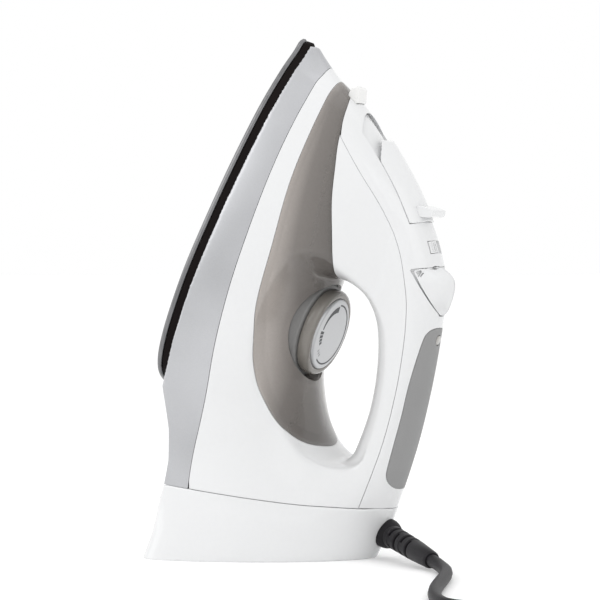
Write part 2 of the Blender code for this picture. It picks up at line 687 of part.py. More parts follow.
def make_dial():
    mats = MATERIALS
    centre = upright(DIAL_S, 0)
    pivot = at(DIAL_S, 0, 66.0)
    seat = [(10.0, 56.4), (27.4, 56.4), (27.4, 62.6), (26.2, 63.9), (10.0, 63.9)]
    add("dial_collar", ring_of(seat, 40, centre), mats["smoke"])
    ring = [(21.0, 64.3), (24.6, 64.3), (DIAL_R, 65.0), (DIAL_R, 68.6), (24.0, 70.8), (22.2, 71.2),
            (21.0, 70.6)]
    add("dial_ring", ring_of(ring, 40, centre), mats["taupe"], pivot)
    hub = [(18.0, 64.3), (20.6, 64.8), (20.6, 67.6)]
    add("dial_hub", lathe(hub, 32, centre), mats["taupe"], pivot)
    cap = [(20.4, 68.0), (20.7, 68.4), (20.7, 71.2), (19.8, 72.2)]
    add("dial_cap", lathe(cap, 40, centre), mats["face"], pivot)


# ---------------------------------------------------------------- steam valve and slider

def slider_placing():
    """Frame of the steam slider: +X along the handle towards the nose, +Z out of its crown."""
    rise = (along(TOP, SLIDER_S + 3) - along(TOP, SLIDER_S - 3)) / 6
    slope = math.atan(rise)
    nose_way = Vector((math.cos(slope), 0, -math.sin(slope)))
    out_way = Vector((math.sin(slope), 0, math.cos(slope)))
    centre = at(SLIDER_S, 0, along(TOP, SLIDER_S)) - out_way * SLIDER_RADIUS * MM
    turn = Matrix((nose_way, Vector((0, 1, 0)), out_way)).transposed().to_4x4()
    return Matrix.Translation(centre) @ turn, centre


def sector(inner, outer, half_angle, x0, x1, steps=8):
    """Arc-shaped block, swept about the X axis."""
    angles = [math.radians(-half_angle + 2 * half_angle * i / steps) for i in range(steps + 1)]
    outline = [(outer * math.sin(a), outer * math.cos(a)) for a in angles]
    outline += [(inner * math.sin(a), inner * math.cos(a)) for a in reversed(angles)]
    return rings_solid([[Vector((x, y, z)) * MM for y, z in outline] for x in (x0, x1)])


def turned(bm, placed, degrees=0.0):
    bm.transform(placed @ Matrix.Rotation(math.radians(-degrees), 4, "X"))
    return bm


def make_slider(cover):
    """Knob in a cross groove of the crown, on a stem that swings in a narrow slot."""
    placed, centre = slider_placing()
    groove = turned(sector(SLIDER_RADIUS - 2.8, 30.0, 21.5, -3.7, 3.7), placed)
    cut(cover, add("groove", groove, MATERIALS["white"]))
    slot = turned(sector(12.0, 30.0, 16.0, -1.9, 1.9), placed)
    cut(cover, add("slot", slot, MATERIALS["white"]))
    knob = turned(sector(SLIDER_RADIUS - 2.4, SLIDER_RADIUS + 0.2, 9.5, -3.4, 3.4), placed, SLIDER_REST)
    stem = turned(sector(15.0, SLIDER_RADIUS - 1.0, 4.0, -1.5, 1.5, 2), placed, SLIDER_REST)
    slider = add("steam_slider", knob, MATERIALS["white"], centre)
    return join(slider, add("stem", stem, MATERIALS["white"]))


def make_valve():
    mats = MATERIALS
    needle = [(0.6, 33.5), (1.5, 36.0), (1.5, 98.0)]
    add("valve_needle", lathe(needle, 12, upright(NEEDLE_S, 0)), mats["steel"], at(NEEDLE_S, 0, 60))
    seat = [(1.9, 27.5), (4.6, 27.5), (4.6, 37.6), (1.9, 37.6)]
    add("valve_seat", ring_of(seat, 16, upright(NEEDLE_S, 0)), mats["rubber"])


# ---------------------------------------------------------------- pumps and buttons

def surface(s, y):
    """Height of the body's crown at one place."""
    half = section(s, 0.0, 0.0, BODY_BOTTOM)
    y = abs(y)
    for (y0, h0), (y1, h1) in zip(half[1:], half[2:]):
        if y1 <= y <= y0:
            return h1 + (h0 - h1) * (y - y1) / max(y0 - y1, 1e-9)
    return half[-1][1]


def loft(places, half_width, top, bottom, steps=6):
    """Solid over the crown: at each s, a strip of the given half width from bottom to top."""
    rings = []
    for s in places:
        half = half_width(s)
        ys = [half * (i - steps) / steps for i in range(2 * steps + 1)]
        upper = [at(s, y, top(s, y)) for y in ys]
        lower = [at(s, y, bottom(s, y)) for y in reversed(ys)]
        rings.append(upper + lower)
    return rings_solid(rings)


def button_height(s, y):
    """Outer face of the buttons: a low roof, falling away steeply below its shoulders."""
    half = along(BUTTON_HALF, s)
    shoulder = 0.58 * half
    top = along(BUTTON_TOP, s)
    low = along(BUTTON_SHOULDER, s)
    if abs(y) < shoulder:
        return top + (low - top) * (abs(y) / shoulder) ** 1.4
    part = (abs(y) - shoulder) / (half - shoulder)
    return low + (surface(s, half) + 0.3 - low) * part


def make_buttons(cover):
    """Two caps in one pocket of the crown, side by side, with room under them for their travel."""
    mats = MATERIALS
    places = [s for s, half in BUTTON_HALF]
    caps = add("caps", loft(places, lambda s: along(BUTTON_HALF, s), button_height,
                            lambda s, y: surface(s, y) - 0.3), mats["white"])
    room = [94.5] + places[1:-1] + [120.7]
    pocket = loft(room, lambda s: along(BUTTON_HALF, s) + 0.5, lambda s, y: 150.0,
                  lambda s, y: surface(s, y) - PRESS - 0.7)
    cut(cover, add("pocket", pocket, mats["white"]), solver="MANIFOLD")
    for name, side in (("spray_button", 1), ("burst_button", -1)):
        near = 0.3 * side
        half = add("half", slab([(80.0, near), (130.0, near), (130.0, 40.0 * side), (80.0, 40.0 * side)],
                                90.0, 160.0), mats["white"])
        button = common(copy_of(caps, name, mats["white"]), half, solver="MANIFOLD")
        shift_origin(button, at(PUMP_S, PUMP_Y * side, 128.0))
        bore = lathe([(2.9, 90.0), (2.9, 150.0)], 12, upright(PUMP_S, PUMP_Y * side))
        cut(cover, add("bore", bore, mats["white"]))
    bpy.data.objects.remove(caps, do_unlink=True)


def shift_origin(obj, pivot):
    obj.data.transform(Matrix.Translation(-pivot))
    obj.location = pivot


def make_pumps():
    mats = MATERIALS
    for name, side in (("spray", 1), ("burst", -1)):
        placed = upright(PUMP_S, PUMP_Y * side)
        cup = [(6.4, 78.0), (6.4, 101.0), (5.5, 101.0), (5.5, 80.0), (0.0, 80.0)]
        add(name + "_cylinder", cup_solid(cup, 20, placed), mats["inner"])
        piston = [(5.2, 92.0), (5.2, 95.0), (2.2, 95.4), (2.2, 124.0)]
        add(name + "_piston", lathe(piston, 16, placed), mats["inner"], at(PUMP_S, PUMP_Y * side, 95.0))
        add_spring(name + "_spring", at(PUMP_S, PUMP_Y * side, 80.9), 3.9, 10.2)


def cup_solid(profile, sides, placed):
    """Turned cup: outer wall up, rim, inner wall down to a floor, closed underneath."""
    rings = [(0.0, profile[0][1])] + profile
    bm = bmesh.new()
    loops = []
    for radius, height in rings:
        if radius == 0.0:
            loops.append([bm.verts.new(Vector((0, 0, height)) * MM)])
            continue
        loops.append([bm.verts.new(Vector((radius * math.cos(2 * math.pi * i / sides),
                                           radius * math.sin(2 * math.pi * i / sides), height)) * MM)
                      for i in range(sides)])
    for low, high in zip(loops, loops[1:]):
        for i in range(sides):
            j = (i + 1) % sides
            corners = [low[i % len(low)], low[j % len(low)], high[j % len(high)], high[i % len(high)]]
            unique = list(dict.fromkeys(corners))
            bm.faces.new(unique)
    bm.transform(placed)
    return bm


def add_spring(name, foot, radius, height):
    turns = 4
    steps = 10 * turns
    points = []
    for i in range(steps + 1):
        a = 2 * math.pi * turns * i / steps
        points.append(foot + Vector((radius * math.cos(a), radius * math.sin(a), height * i / steps)) * MM)
    tube(name, points, 0.5, MATERIALS["steel"], 0)


def make_plumbing():
    mats = MATERIALS
    inlet = [(5.0, 58.2), (6.3, 58.2), (6.3, 73.0), (5.0, 73.0)]
    add("tank_inlet", ring_of(inlet, 20, upright(58.0, 0)), mats["inner"])
    hose = [at(98.5, 9, 82), at(92, 10, 80), at(80, 11, 74), at(66, 11, 66), at(52, 8, 60), at(42, 3, 56),
            at(37, 0, 54)]
    tube("spray_hose", even(hose, 5.0 * MM), 1.6, mats["rubber"], 1)
    sink = [at(50, 6, 48), at(62, 10, 47), at(80, 16, 46), at(104, 22, 47), at(124, 26, 49)]
    tube("suction_tube", even(sink, 8.0 * MM), 2.0, mats["rubber"], 1)


# ---------------------------------------------------------------- top of the iron

def make_nozzle(cover):
    mats = MATERIALS
    bm = prism(NOZZLE_OUTLINE, -5.5, 5.5)
    bmesh.ops.bevel(bm, geom=[e for e in bm.edges if abs(e.verts[0].co.y - e.verts[1].co.y) < 1e-6],
                    offset=1.0 * MM, segments=1, affect="EDGES")
    nozzle = add("spray_nozzle", bm, mats["inner"])
    seat = offset(NOZZLE_OUTLINE, GAP)
    room = add("nozzle_seat", prism(seat, -5.8, 5.8), mats["white"])
    cut(bpy.data.objects["water_tank"], room, keep=True)
    cut(cover, room)
    way = at(-3.2, 0, -1.7).normalized()
    mouth = at(16.1, 0, 42.8)
    cut(nozzle, add("mouth", lathe([(1.9, -3.0), (1.9, 9.0)], 16, aimed(mouth, way)), mats["white"]))
    tip = [(1.6, -2.6), (1.6, 0.4), (0.9, 1.0)]
    add("nozzle_tip", lathe(tip, 16, aimed(mouth, way)), mats["inner"])


def door_height(s, y):
    """Outer face of the fill cover: level with the crown at its edges, raised in the middle."""
    return surface(s, y) + 0.2 + along(DOOR_BULGE, s) * (1 - (y / DOOR_HALF) ** 2)


def track_front(y):
    """Where the front edge of the fill cover's track lies, swept back towards its sides."""
    return 27.6 + 9.6 * (abs(y) / DOOR_HALF) ** 2


def make_fill_cover(cover):
    """Cover of the water inlet, in a shallow track that runs on towards the nose."""
    places = [36.0 + 2.5 * i for i in range(18)]
    door = add("fill_cover", loft(places, lambda s: DOOR_HALF, door_height,
                                  lambda s, y: surface(s, y) - DOOR_SINK), MATERIALS["white"])
    common(door, region(DOOR_OUTLINE), solver="MANIFOLD")
    lip = prism(LIP_OUTLINE, -9.0, 9.0)
    bmesh.ops.bevel(lip, geom=[e for e in lip.edges if abs(e.verts[0].co.y - e.verts[1].co.y) < 1e-6],
                    offset=1.2 * MM, segments=1, affect="EDGES")
    join(door, add("lip", lip, MATERIALS["white"]))
    finish_mesh(door, MATERIALS["white"])
    shift_origin(door, at(55.0, 0.0, 86.0))
    cut_track(cover)
    hole = lathe([(6.0, 60.0), (6.0, 110.0)], 20, upright(58.0, 0))
    cut(cover, add("filler", hole, MATERIALS["white"]), solver="MANIFOLD")


def cut_track(cover):
    places = [26.0 + 2.6 * i for i in range(21)]
    track = add("track", loft(places, lambda s: DOOR_HALF + 0.35, lambda s, y: 150.0,
                              lambda s, y: surface(s, y) - TRACK_DEPTH), MATERIALS["white"])
    front = [(track_front(y), y) for y in (-16.0, -12.0, -8.0, -4.0, 0.0, 4.0, 8.0, 12.0, 16.0)]
    plan_view = front + [(78.4, 16.0), (78.4, -16.0)]
    common(track, add("plan", slab(plan_view, 30.0, 160.0), MATERIALS["white"]), solver="MANIFOLD")
    rear = add("rear", prism([(20.0, 20.0), (78.4, 92.0), (78.2, 99.0), (76.9, 102.6), (72.9, 109.2),
                              (72.9, 160.0), (20.0, 160.0)], -20.0, 20.0), MATERIALS["white"])
    common(track, rear, solver="MANIFOLD")
    cut(cover, track, solver="MANIFOLD")


def make_grip(whole, cover):
    mats = MATERIALS
    grip = common(copy_of(whole, "grip_pad", mats["grip"]), region(GRIP_OUTLINE))
    cut(grip, form(GRIP_DEPTH, 0.0, 4.0, "grip_core"))
    bed = region(offset(GRIP_OUTLINE, GAP))
    cut(bed, form(GRIP_DEPTH + GAP, 0.0, 4.0, "bed_core"))
    cut(cover, bed)
    for target, radius in ((grip, 3.1), (cover, 3.1)):
        hole = lathe([(radius, 122.0), (radius, 150.0)], 16, upright(LENS_S, 0))
        cut(target, add("hole", hole, mats["white"]))
    top = along(TOP, LENS_S)
    lens = [(2.7, top - 3.8), (2.7, top + 0.2), (2.0, top + 0.6)]
    add("pilot_lens", lathe(lens, 16, upright(LENS_S, 0)), mats["lens"])
    lamp = [(2.0, top - 13.0), (2.0, top - 4.2)]
    add("pilot_lamp", lathe(lamp, 12, upright(LENS_S, 0)), mats["lens"])


# ---------------------------------------------------------------- wiring and fasteners

def make_wiring():
    mats = MATERIALS
    add("terminal_block", box((264.0, 280.0), (-18.0, 18.0), (48.0, 58.0)), mats["inner"])
    for name, side in (("wire_live", 1), ("wire_neutral", -1)):
        path = [at(187, 30 * side, 9.8), at(187, 30 * side, 16), at(196, 30 * side, 24),
                at(222, 26 * side, 32), at(246, 18 * side, 42), at(262.5, 12 * side, 52)]
        tube(name, even(path, 6.0 * MM), 1.2, mats["rubber"], 1)
    inner = [at(249, 0, 129.5), at(256, 0, 118), at(262, 0, 96), at(268, 0, 76), at(272, 0, 59.4)]
    tube("inner_cable", even(inner, 9.0 * MM), LEAD_R, mats["charcoal"], 2)
    make_clamp()


def make_clamp():
    """Strap over the inner cable, with a screw on each side."""
    clamp = add("cord_clamp", box((CLAMP_S, CLAMP_S + 4.0), (-13.0, 13.0), (84.0, 92.0)), MATERIALS["inner"])
    for side in (1, -1):
        placed = aimed(at(CLAMP_S, CLAMP_SCREW_Y * side, 88.0), Vector((1, 0, 0)))
        cut(clamp, add("hole", lathe([(1.8, -9.0), (1.8, 9.0)], 12, placed), MATERIALS["inner"]))


def screw(name, placed, length=10.0):
    head = [(1.4, -length), (1.4, 0.0), (2.8, 0.0), (2.8, 1.2), (2.0, 1.9)]
    add(name, lathe(head, 12, placed), MATERIALS["steel"])


def make_screws():
    for name, side in (("clamp_screw_left", 1), ("clamp_screw_right", -1)):
        screw(name, aimed(at(CLAMP_S - GAP, CLAMP_SCREW_Y * side, 88.0), Vector((1, 0, 0))), 7.0)
    for name, side in (("sole_screw_left", 1), ("sole_screw_right", -1)):
        screw(name, upright(197.0, 20.0 * side, 15.0), 0.6)


# ---------------------------------------------------------------- lead

def world_point(local):
    return stand_matrix() @ local


def make_swivel():
    mats = MATERIALS
    centre = world_point(at(BUSH_S, 0, BUSH_H))
    placed = aimed(centre, GUARD_WAY)
    ball = [(4.6, -7.1), (6.9, -4.9), (8.2, -2.2), (BUSH_R, 0.0), (8.2, 2.2), (6.9, 4.9), (4.6, 7.1)]
    add("cord_bush", lathe(ball, 24, placed), mats["charcoal"], centre, world=True)
    add("cord_guard", lathe(guard_profile(), 16, placed), mats["charcoal"], centre, world=True)


def guard_profile():
    """Ribs with deep gaps between them, then a smooth sleeve, along the lead's way out."""
    profile = [(4.4, GUARD_START)]
    for i in range(4):
        low = GUARD_START + 0.8 + RIB_PITCH * i
        radius = 6.3 - 0.1 * i
        profile += [(radius, low), (radius, low + 5.8), (4.4, low + 5.8), (4.4, low + RIB_PITCH - 0.2)]
    profile += [(5.9, GUARD_START + 4 * RIB_PITCH + 0.8), (4.6, GUARD_START + GUARD_LENGTH - 1.0),
                (4.2, GUARD_START + GUARD_LENGTH)]
    return profile


def lead_route():
    """Route of the lead from the strain relief, round two bends, to the coil: (across, near, height)."""
    floor = LEAD_R + 0.15
    points = [(62.1, 79.9, 5.5), (64.6, 88.0, 4.5), (66.6, 98.0, floor), (67.6, 111.0, floor),
              (67.0, 127.0, floor), (65.0, 144.0, floor), (62.4, 162.0, floor), (59.8, 181.0, floor),
              (57.8, 200.0, floor), (56.8, 220.0, floor), (57.4, 239.0, floor), (61.0, 255.0, floor),
              (70.5, 266.0, floor), (84.5, 270.0, floor), (100.0, 271.0, floor), (114.0, 271.0, floor),
              (128.0, 270.6, floor), (142.0, 270.0, floor), (157.0, 266.0, floor), (168.0, 255.0, floor),
              (172.0, 240.0, floor), (172.6, 222.0, floor), (172.8, 204.0, floor), (172.6, 186.0, floor),
              (172.2, 168.0, floor), (172.0, 150.0, 4.2), (172.0, 138.0, 4.8), (172.0, 127.4, 5.0)]
    return [on_floor(*point) for point in points]


def tail_route():
    """Route of the lead's end, from the coil round to the plug: (across, near, height)."""
    points = [(270.6, 127.4, 12.0), (270.6, 137.0, 11.6), (268.6, 149.4, 10.9), (261.9, 159.4, 10.1),
              (252.0, 165.2, 9.3), (240.6, 167.0, 8.8), (236.6, 167.0, 8.7)]
    return [on_floor(*point) for point in points]


def on_floor(across, near, height):
    """Point given along and square to the lead's first direction, over the surface it lies on."""
    return (ACROSS * across + NEAR * near + Vector((0, 0, height))) * MM


def make_lead():
    dark = MATERIALS["charcoal"]
    tube("cord_tube", even(lead_route(), 13.0 * MM), LEAD_R, dark, 2, world=True)
    w, h, c = COIL_HALF_WIDTH, COIL_HALF_HEIGHT, COIL_CORNER
    outline = [(w, -h + c), (w, h - c), (w - c, h), (-w + c, h), (-w, h - c), (-w, -h + c), (-w + c, -h),
               (w - c, -h)]
    coil = [(COIL_R + x, z) for x, z in outline]
    add("cord_coil", ring_of(coil, 36, Matrix.Translation(COIL_CENTRE * MM)), dark, world=True)
    tube("cord_tail", even(tail_route(), 10.0 * MM), LEAD_R, dark, 2, world=True)
    make_tie()


def make_tie():
    """Closed strap round the coil's bundle of turns."""
    inner = COIL_R - COIL_HALF_WIDTH - 0.9
    outer = COIL_R + COIL_HALF_WIDTH + 0.5
    reach = COIL_HALF_HEIGHT + 0.35
    loop = [(inner, -reach), (outer, -reach), (outer, reach), (inner, reach)]
    wall = [(inner - TIE_WALL, -reach - TIE_WALL), (outer + TIE_WALL, -reach - TIE_WALL),
            (outer + TIE_WALL, reach + TIE_WALL), (inner - TIE_WALL, reach + TIE_WALL)]
    across = -ACROSS.cross(Vector((0, 0, 1)))
    bm = bmesh.new()
    rings = [[bm.verts.new((COIL_CENTRE + ACROSS * half_width + across * r + Vector((0, 0, z))) * MM)
              for r, z in outline] for half_width, outline in
             ((-TIE_HALF, wall), (TIE_HALF, wall), (TIE_HALF, loop), (-TIE_HALF, loop))]
    for low, high in zip(rings, rings[1:] + rings[:1]):
        for j in range(len(low)):
            k = (j + 1) % len(low)
            bm.faces.new((low[j], low[k], high[k], high[j]))
    add("coil_tie", bm, MATERIALS["rubber"], world=True)


def make_plug():
    """Two-blade plug lying beside the coil."""
    back = on_floor(236.6 - GAP, 167.0, 8.7)
    turn = Matrix((-ACROSS, -NEAR, (0, 0, 1))).transposed().to_4x4()
    placed = Matrix.Translation(back) @ turn
    rings = []
    for x, half_width, half_height in PLUG_SHAPE:
        corner = half_height * 0.5
        section = [(half_width, -half_height + corner), (half_width, half_height - corner),
                   (half_width - corner, half_height), (-half_width + corner, half_height),
                   (-half_width, half_height - corner), (-half_width, -half_height + corner),
                   (-half_width + corner, -half_height), (half_width - corner, -half_height)]
        rings.append([Vector((x, y, z)) * MM for y, z in section])
    body = rings_solid(rings)
    body.transform(placed)
    add("plug_body", body, MATERIALS["charcoal"], world=True)
    for name, side in (("plug_blade_left", 1), ("plug_blade_right", -1)):
        y = BLADE_APART / 2 * side
        start = PLUG_SHAPE[-1][0] + GAP
        outline = [(start, -3.15), (start + 13.5, -3.15), (start + 15.0, -2.0), (start + 15.0, 2.0),
                   (start + 13.5, 3.15), (start, 3.15)]
        blade = rings_solid([[Vector((x, y + edge, z)) * MM for x, z in outline] for edge in (-0.75, 0.75)])
        blade.transform(placed)
        add(name, blade, MATERIALS["steel"], world=True)


# ---------------------------------------------------------------- build

clear_scene()
MATERIALS = make_materials()
STAND = make_stand()
body_form, body_hollow, skirt_shell, main_shell, tank_shell, cover_shell = make_shells()
make_heel()
make_soleplate()
make_heat_shield()
make_heater()
make_steam_chamber()
make_thermostat()
make_dial()
make_slider(cover_shell)
make_valve()
make_buttons(cover_shell)
make_pumps()
make_plumbing()
make_nozzle(cover_shell)
make_fill_cover(cover_shell)
make_grip(body_form, cover_shell)
make_wiring()
make_screws()
make_swivel()
make_lead()
make_plug()
for helper in (body_form, body_hollow):
    bpy.data.objects.remove(helper, do_unlink=True)
for shell, finish in ((skirt_shell, "silver"), (main_shell, "white"), (tank_shell, "smoke"),
                      (cover_shell, "white")):
    finish_mesh(shell, MATERIALS[finish])
bpy.context.view_layer.update()
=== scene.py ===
"""Looks of a steam clothes iron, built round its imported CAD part.

The iron stands on its heel. Its pieces are drawn lying flat, as (s, y, h) in millimetres: s runs back
from the nose, y to the side and h up from the soleplate. stand_matrix() stands them up in the part's frame.
"""
import functools
import math

import bmesh
import bpy
from mathutils import Matrix, Vector


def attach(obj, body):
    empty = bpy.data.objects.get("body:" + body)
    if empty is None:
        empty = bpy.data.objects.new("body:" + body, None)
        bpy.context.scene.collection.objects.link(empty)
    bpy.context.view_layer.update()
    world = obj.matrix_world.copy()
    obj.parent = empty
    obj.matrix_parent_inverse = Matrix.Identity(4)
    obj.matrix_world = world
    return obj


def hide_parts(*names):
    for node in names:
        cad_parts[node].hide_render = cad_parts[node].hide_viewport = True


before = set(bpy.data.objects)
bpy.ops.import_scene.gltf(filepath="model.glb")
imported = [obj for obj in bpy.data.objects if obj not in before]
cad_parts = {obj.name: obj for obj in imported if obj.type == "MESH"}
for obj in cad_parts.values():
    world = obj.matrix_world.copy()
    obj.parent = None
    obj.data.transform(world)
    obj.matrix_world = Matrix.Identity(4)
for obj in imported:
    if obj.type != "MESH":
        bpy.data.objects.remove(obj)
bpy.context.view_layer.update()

MM = 0.001
GAP = 0.3                     # between fixed pieces
WALL = 2.5
COVER_WALL = 4.2
GRIP_DEPTH = 1.8
TILT = math.radians(19)       # lean of the soleplate when the iron stands
TIP_HEIGHT = 293.2
STAND_X = -8.94
SHIELD_TOP = 8.2
BODY_BOTTOM = 8.5
HANDLE_HALF = 18.5            # half the handle's width, and its crown radius
SIDE_TOP = 98.0               # height where the flanks have drawn in to the handle
HEEL_HALF = 57.0
UNDERSIDE = 26.5              # height of the heel's underside
DIAL_S = 153.0
DIAL_R = 25.2
NEEDLE_S = 84.0
PUMP_S = 106.0
PUMP_Y = 8.5
PRESS = 2.0
SLIDER_S = 85.0
SLIDER_RADIUS = 23.0
SLIDER_REST = 10.5            # degrees from the crown to the closed place
DOOR_HALF = 14.6              # half width of the fill cover
DOOR_SINK = 1.1
TRACK_DEPTH = 3.5
LENS_S = 134.0
LEAD_R = 3.5
BUSH_S = 246.7
BUSH_H = 140.8
BUSH_R = 8.5
GUARD_LENGTH = 58.0
GUARD_START = 7.5
RIB_PITCH = 8.4
GUARD_WAY = Vector((0.70, -0.70, -0.13)).normalized()
COIL_CENTRE = Vector((242.83, 2.89, 8.65))
COIL_OUTER = 49.3             # radius of the outermost turn's middle
COIL_INNER = 28.0
TURN_UP = 7.1                 # from one layer of turns to the next
ACROSS = Vector((0.9063, 0.4226, 0.0))      # level, across the lead's first direction
NEAR = Vector((0.4226, -0.9063, 0.0))       # level, square to ACROSS
VOXEL = 0.8          # fineness of the rounded shells

# soleplate outline, s and half width
SOLE = [(0.0, 0.0), (2.0, 3.4), (8.0, 7.0), (20.0, 16.2), (44.0, 30.0), (80.0, 44.4), (115.0, 55.2),
        (139.0, 60.8), (162.0, 62.9), (178.0, 62.3), (190.0, 59.3), (199.0, 53.0), (205.0, 42.0),
        (208.0, 25.0), (209.0, 0.0)]
# half width of the body at its foot
FOOT = [(0.0, 2.2), (2.0, 4.6), (8.0, 8.6), (20.0, 17.4), (44.0, 31.3), (80.0, 46.0), (115.0, 57.0),
        (139.0, 62.4), (162.0, 64.6), (178.0, 64.2), (200.0, 61.0), (230.0, 58.0), (260.0, HEEL_HALF),
        (320.0, HEEL_HALF)]
# top of the body on the centre plane, s and h
TOP = [(0.0, 9.2), (4.0, 14.0), (9.4, 21.2), (15.4, 30.3), (19.4, 38.6), (25.0, 49.0), (31.0, 58.0),
       (40.0, 69.4), (55.0, 87.8), (68.0, 102.6), (80.0, 113.2), (95.0, 123.3), (110.0, 129.4),
       (126.0, 133.2), (160.0, 138.2), (196.0, 141.0), (236.0, 140.3), (262.0, 137.5), (320.0, 126.0)]
# seams between the shells, s and h
SKIRT_SEAM = [(-6.0, 21.6), (9.0, 22.8), (60.0, 24.3), (120.0, 28.0), (183.0, 32.5), (227.0, 36.0),
              (254.0, 41.0)]
HEEL_SEAM = [(257.4, 18.0), (256.4, 27.0), (253.4, 42.0), (249.2, 63.0), (245.7, 81.0), (241.7, 101.0),
             (238.2, 115.0), (234.7, 129.0), (231.7, 139.5), (230.5, 160.0)]
HANDLE_SEAM = [(43.0, 51.3), (57.0, 68.3), (69.0, 83.0), (79.0, 93.0), (88.0, 100.5), (97.0, 106.6),
               (111.0, 113.8), (121.0, 117.8), (135.0, 121.5), (151.0, 124.5), (168.0, 126.8),
               (190.0, 128.4), (219.0, 128.6), (234.7, 128.4)]
TANK_LOW = [(2.0, 29.5), (15.0, 31.5), (24.0, 33.3), (45.0, 35.0), (75.0, 37.5), (110.0, 42.0),
            (141.0, 45.0), (157.0, 48.0), (171.0, 51.0), (180.0, 54.0), (187.5, 57.5), (194.0, 62.0),
            (200.0, 67.0), (204.5, 72.0), (208.0, 77.5), (210.5, 82.5), (212.0, 87.5), (212.5, 93.0)]
TANK_HIGH = [(2.0, 37.0), (17.0, 39.0), (21.0, 41.3), (27.0, 44.8), (37.0, 48.6), (48.0, 51.8),
             (61.0, 56.3), (77.0, 61.3), (93.0, 67.0), (103.0, 70.4), (109.0, 72.4), (114.0, 73.0),
             (124.0, 73.0)]
UNDERLINE = [(201.8, 4.0), (203.0, 8.5), (226.0, 19.0), (243.0, 24.5), (256.4, UNDERSIDE)]
# finger opening on the centre plane, s and h, clockwise from its low front corner
OPENING = [(124.0, 66.6), (150.0, 66.3), (176.0, 70.2), (190.5, 75.5), (203.0, 82.8), (210.8, 90.0),
           (214.8, 97.0), (215.5, 103.5), (211.5, 108.0), (203.0, 109.6), (182.0, 110.0), (159.0, 106.5),
           (138.0, 99.5), (126.0, 90.5), (121.0, 81.0), (120.5, 71.0)]
GRIP_OUTLINE = [(124.5, 150.0), (124.8, 139.0), (127.0, 133.6), (130.5, 131.2), (137.0, 130.6),
                (161.0, 131.6), (180.0, 133.2), (205.0, 134.4), (214.0, 135.4), (218.6, 138.6),
                (219.6, 142.0), (219.6, 150.0)]
DOOR_OUTLINE = [(38.6, 66.0), (39.4, 69.6), (51.8, 76.4), (64.0, 86.0), (78.0, 98.4), (76.6, 102.2),
                (72.6, 108.6), (66.0, 107.0), (57.0, 97.0), (48.0, 86.5), (40.8, 77.0), (38.4, 72.6)]
LIP_OUTLINE = [(66.2, 101.5), (65.4, 110.6), (66.4, 111.9), (68.4, 112.1), (69.8, 111.0), (71.2, 107.0),
               (71.0, 104.4)]
DOOR_BULGE = [(36.0, 5.0), (48.0, 5.0), (57.0, 4.4), (65.0, 3.0), (71.0, 1.8), (80.0, 1.6)]
BUTTON_HALF = [(95.0, 6.0), (96.2, 11.0), (97.6, 14.6), (99.6, 16.9), (103.0, 16.4), (107.0, 15.0),
               (111.0, 12.8), (115.0, 9.6), (118.0, 6.0), (120.2, 2.4)]
BUTTON_TOP = [(95.0, 123.6), (96.2, 127.2), (97.6, 130.6), (99.6, 133.0), (103.0, 134.4), (107.0, 134.9),
              (111.0, 135.0), (115.0, 134.8), (118.0, 134.2), (120.2, 132.8)]
BUTTON_SHOULDER = [(95.0, 121.8), (96.2, 122.6), (97.6, 123.8), (99.6, 125.2), (103.0, 127.6),
                   (107.0, 129.6), (111.0, 130.9), (115.0, 131.8), (118.0, 132.2), (120.2, 132.0)]
NOZZLE_OUTLINE = [(21.8, 40.2), (19.4, 40.4), (17.0, 41.1), (15.2, 44.4), (16.2, 45.8), (20.6, 46.9),
                  (23.6, 47.8), (25.4, 45.0), (24.2, 41.6)]


# ---------------------------------------------------------------- curves

def along(points, x):
    """Smooth curve through (x, value) points, read at x."""
    count = len(points)
    index = 0
    while index < count - 2 and x > points[index + 1][0]:
        index += 1
    (x0, v0), (x1, v1) = points[index], points[index + 1]
    before = points[max(index - 1, 0)]
    after = points[min(index + 2, count - 1)]
    width = x1 - x0
    slope0 = (v1 - before[1]) / max(x1 - before[0], 1e-9)
    slope1 = (after[1] - v0) / max(after[0] - x0, 1e-9)
    t = min(max((x - x0) / width, 0.0), 1.0)
    a = (2 * t ** 3 - 3 * t ** 2 + 1) * v0 + (t ** 3 - 2 * t ** 2 + t) * width * slope0
    return a + (3 * t ** 2 - 2 * t ** 3) * v1 + (t ** 3 - t ** 2) * width * slope1


def step(x, low, high):
    t = min(max((x - low) / (high - low), 0.0), 1.0)
    return t * t * (3 - 2 * t)


def rounded(points, per_span, closed=False):
    """Catmull-Rom curve through points of any size."""
    count = len(points)
    spans = count if closed else count - 1
    out = []
    for i in range(spans):
        p1 = Vector(points[i])
        p2 = Vector(points[(i + 1) % count])
        p0 = Vector(points[i - 1]) if closed or i > 0 else p1 * 2 - p2
        p3 = Vector(points[(i + 2) % count]) if closed or i + 2 < count else p2 * 2 - p1
        for j in range(per_span):
            t = j / per_span
            out.append(0.5 * (2 * p1 + (p2 - p0) * t + (2 * p0 - 5 * p1 + 4 * p2 - p3) * t * t
                              + (3 * p1 - p0 - 3 * p2 + p3) * t ** 3))
    if not closed:
        out.append(Vector(points[-1]))
    return out


def smooth_line(points, per_span=5):
    return [tuple(p) for p in rounded(points, per_span)]


def offset(points, distance):
    """Moves a closed outline outward by a distance, whichever way round it runs."""
    area = sum(a[0] * b[1] - b[0] * a[1] for a, b in zip(points, points[1:] + points[:1]))
    side = 1.0 if area > 0 else -1.0
    out = []
    count = len(points)
    for i in range(count):
        a = Vector(points[i - 1])
        b = Vector(points[i])
        c = Vector(points[(i + 1) % count])
        before = (b - a).normalized()
        after = (c - b).normalized()
        n0 = Vector((before.y, -before.x)) * side
        n1 = Vector((after.y, -after.x)) * side
        middle = (n0 + n1).normalized()
        out.append(tuple(b + middle * distance / max(middle.dot(n1), 0.4)))
    return out


# ---------------------------------------------------------------- placing and meshes

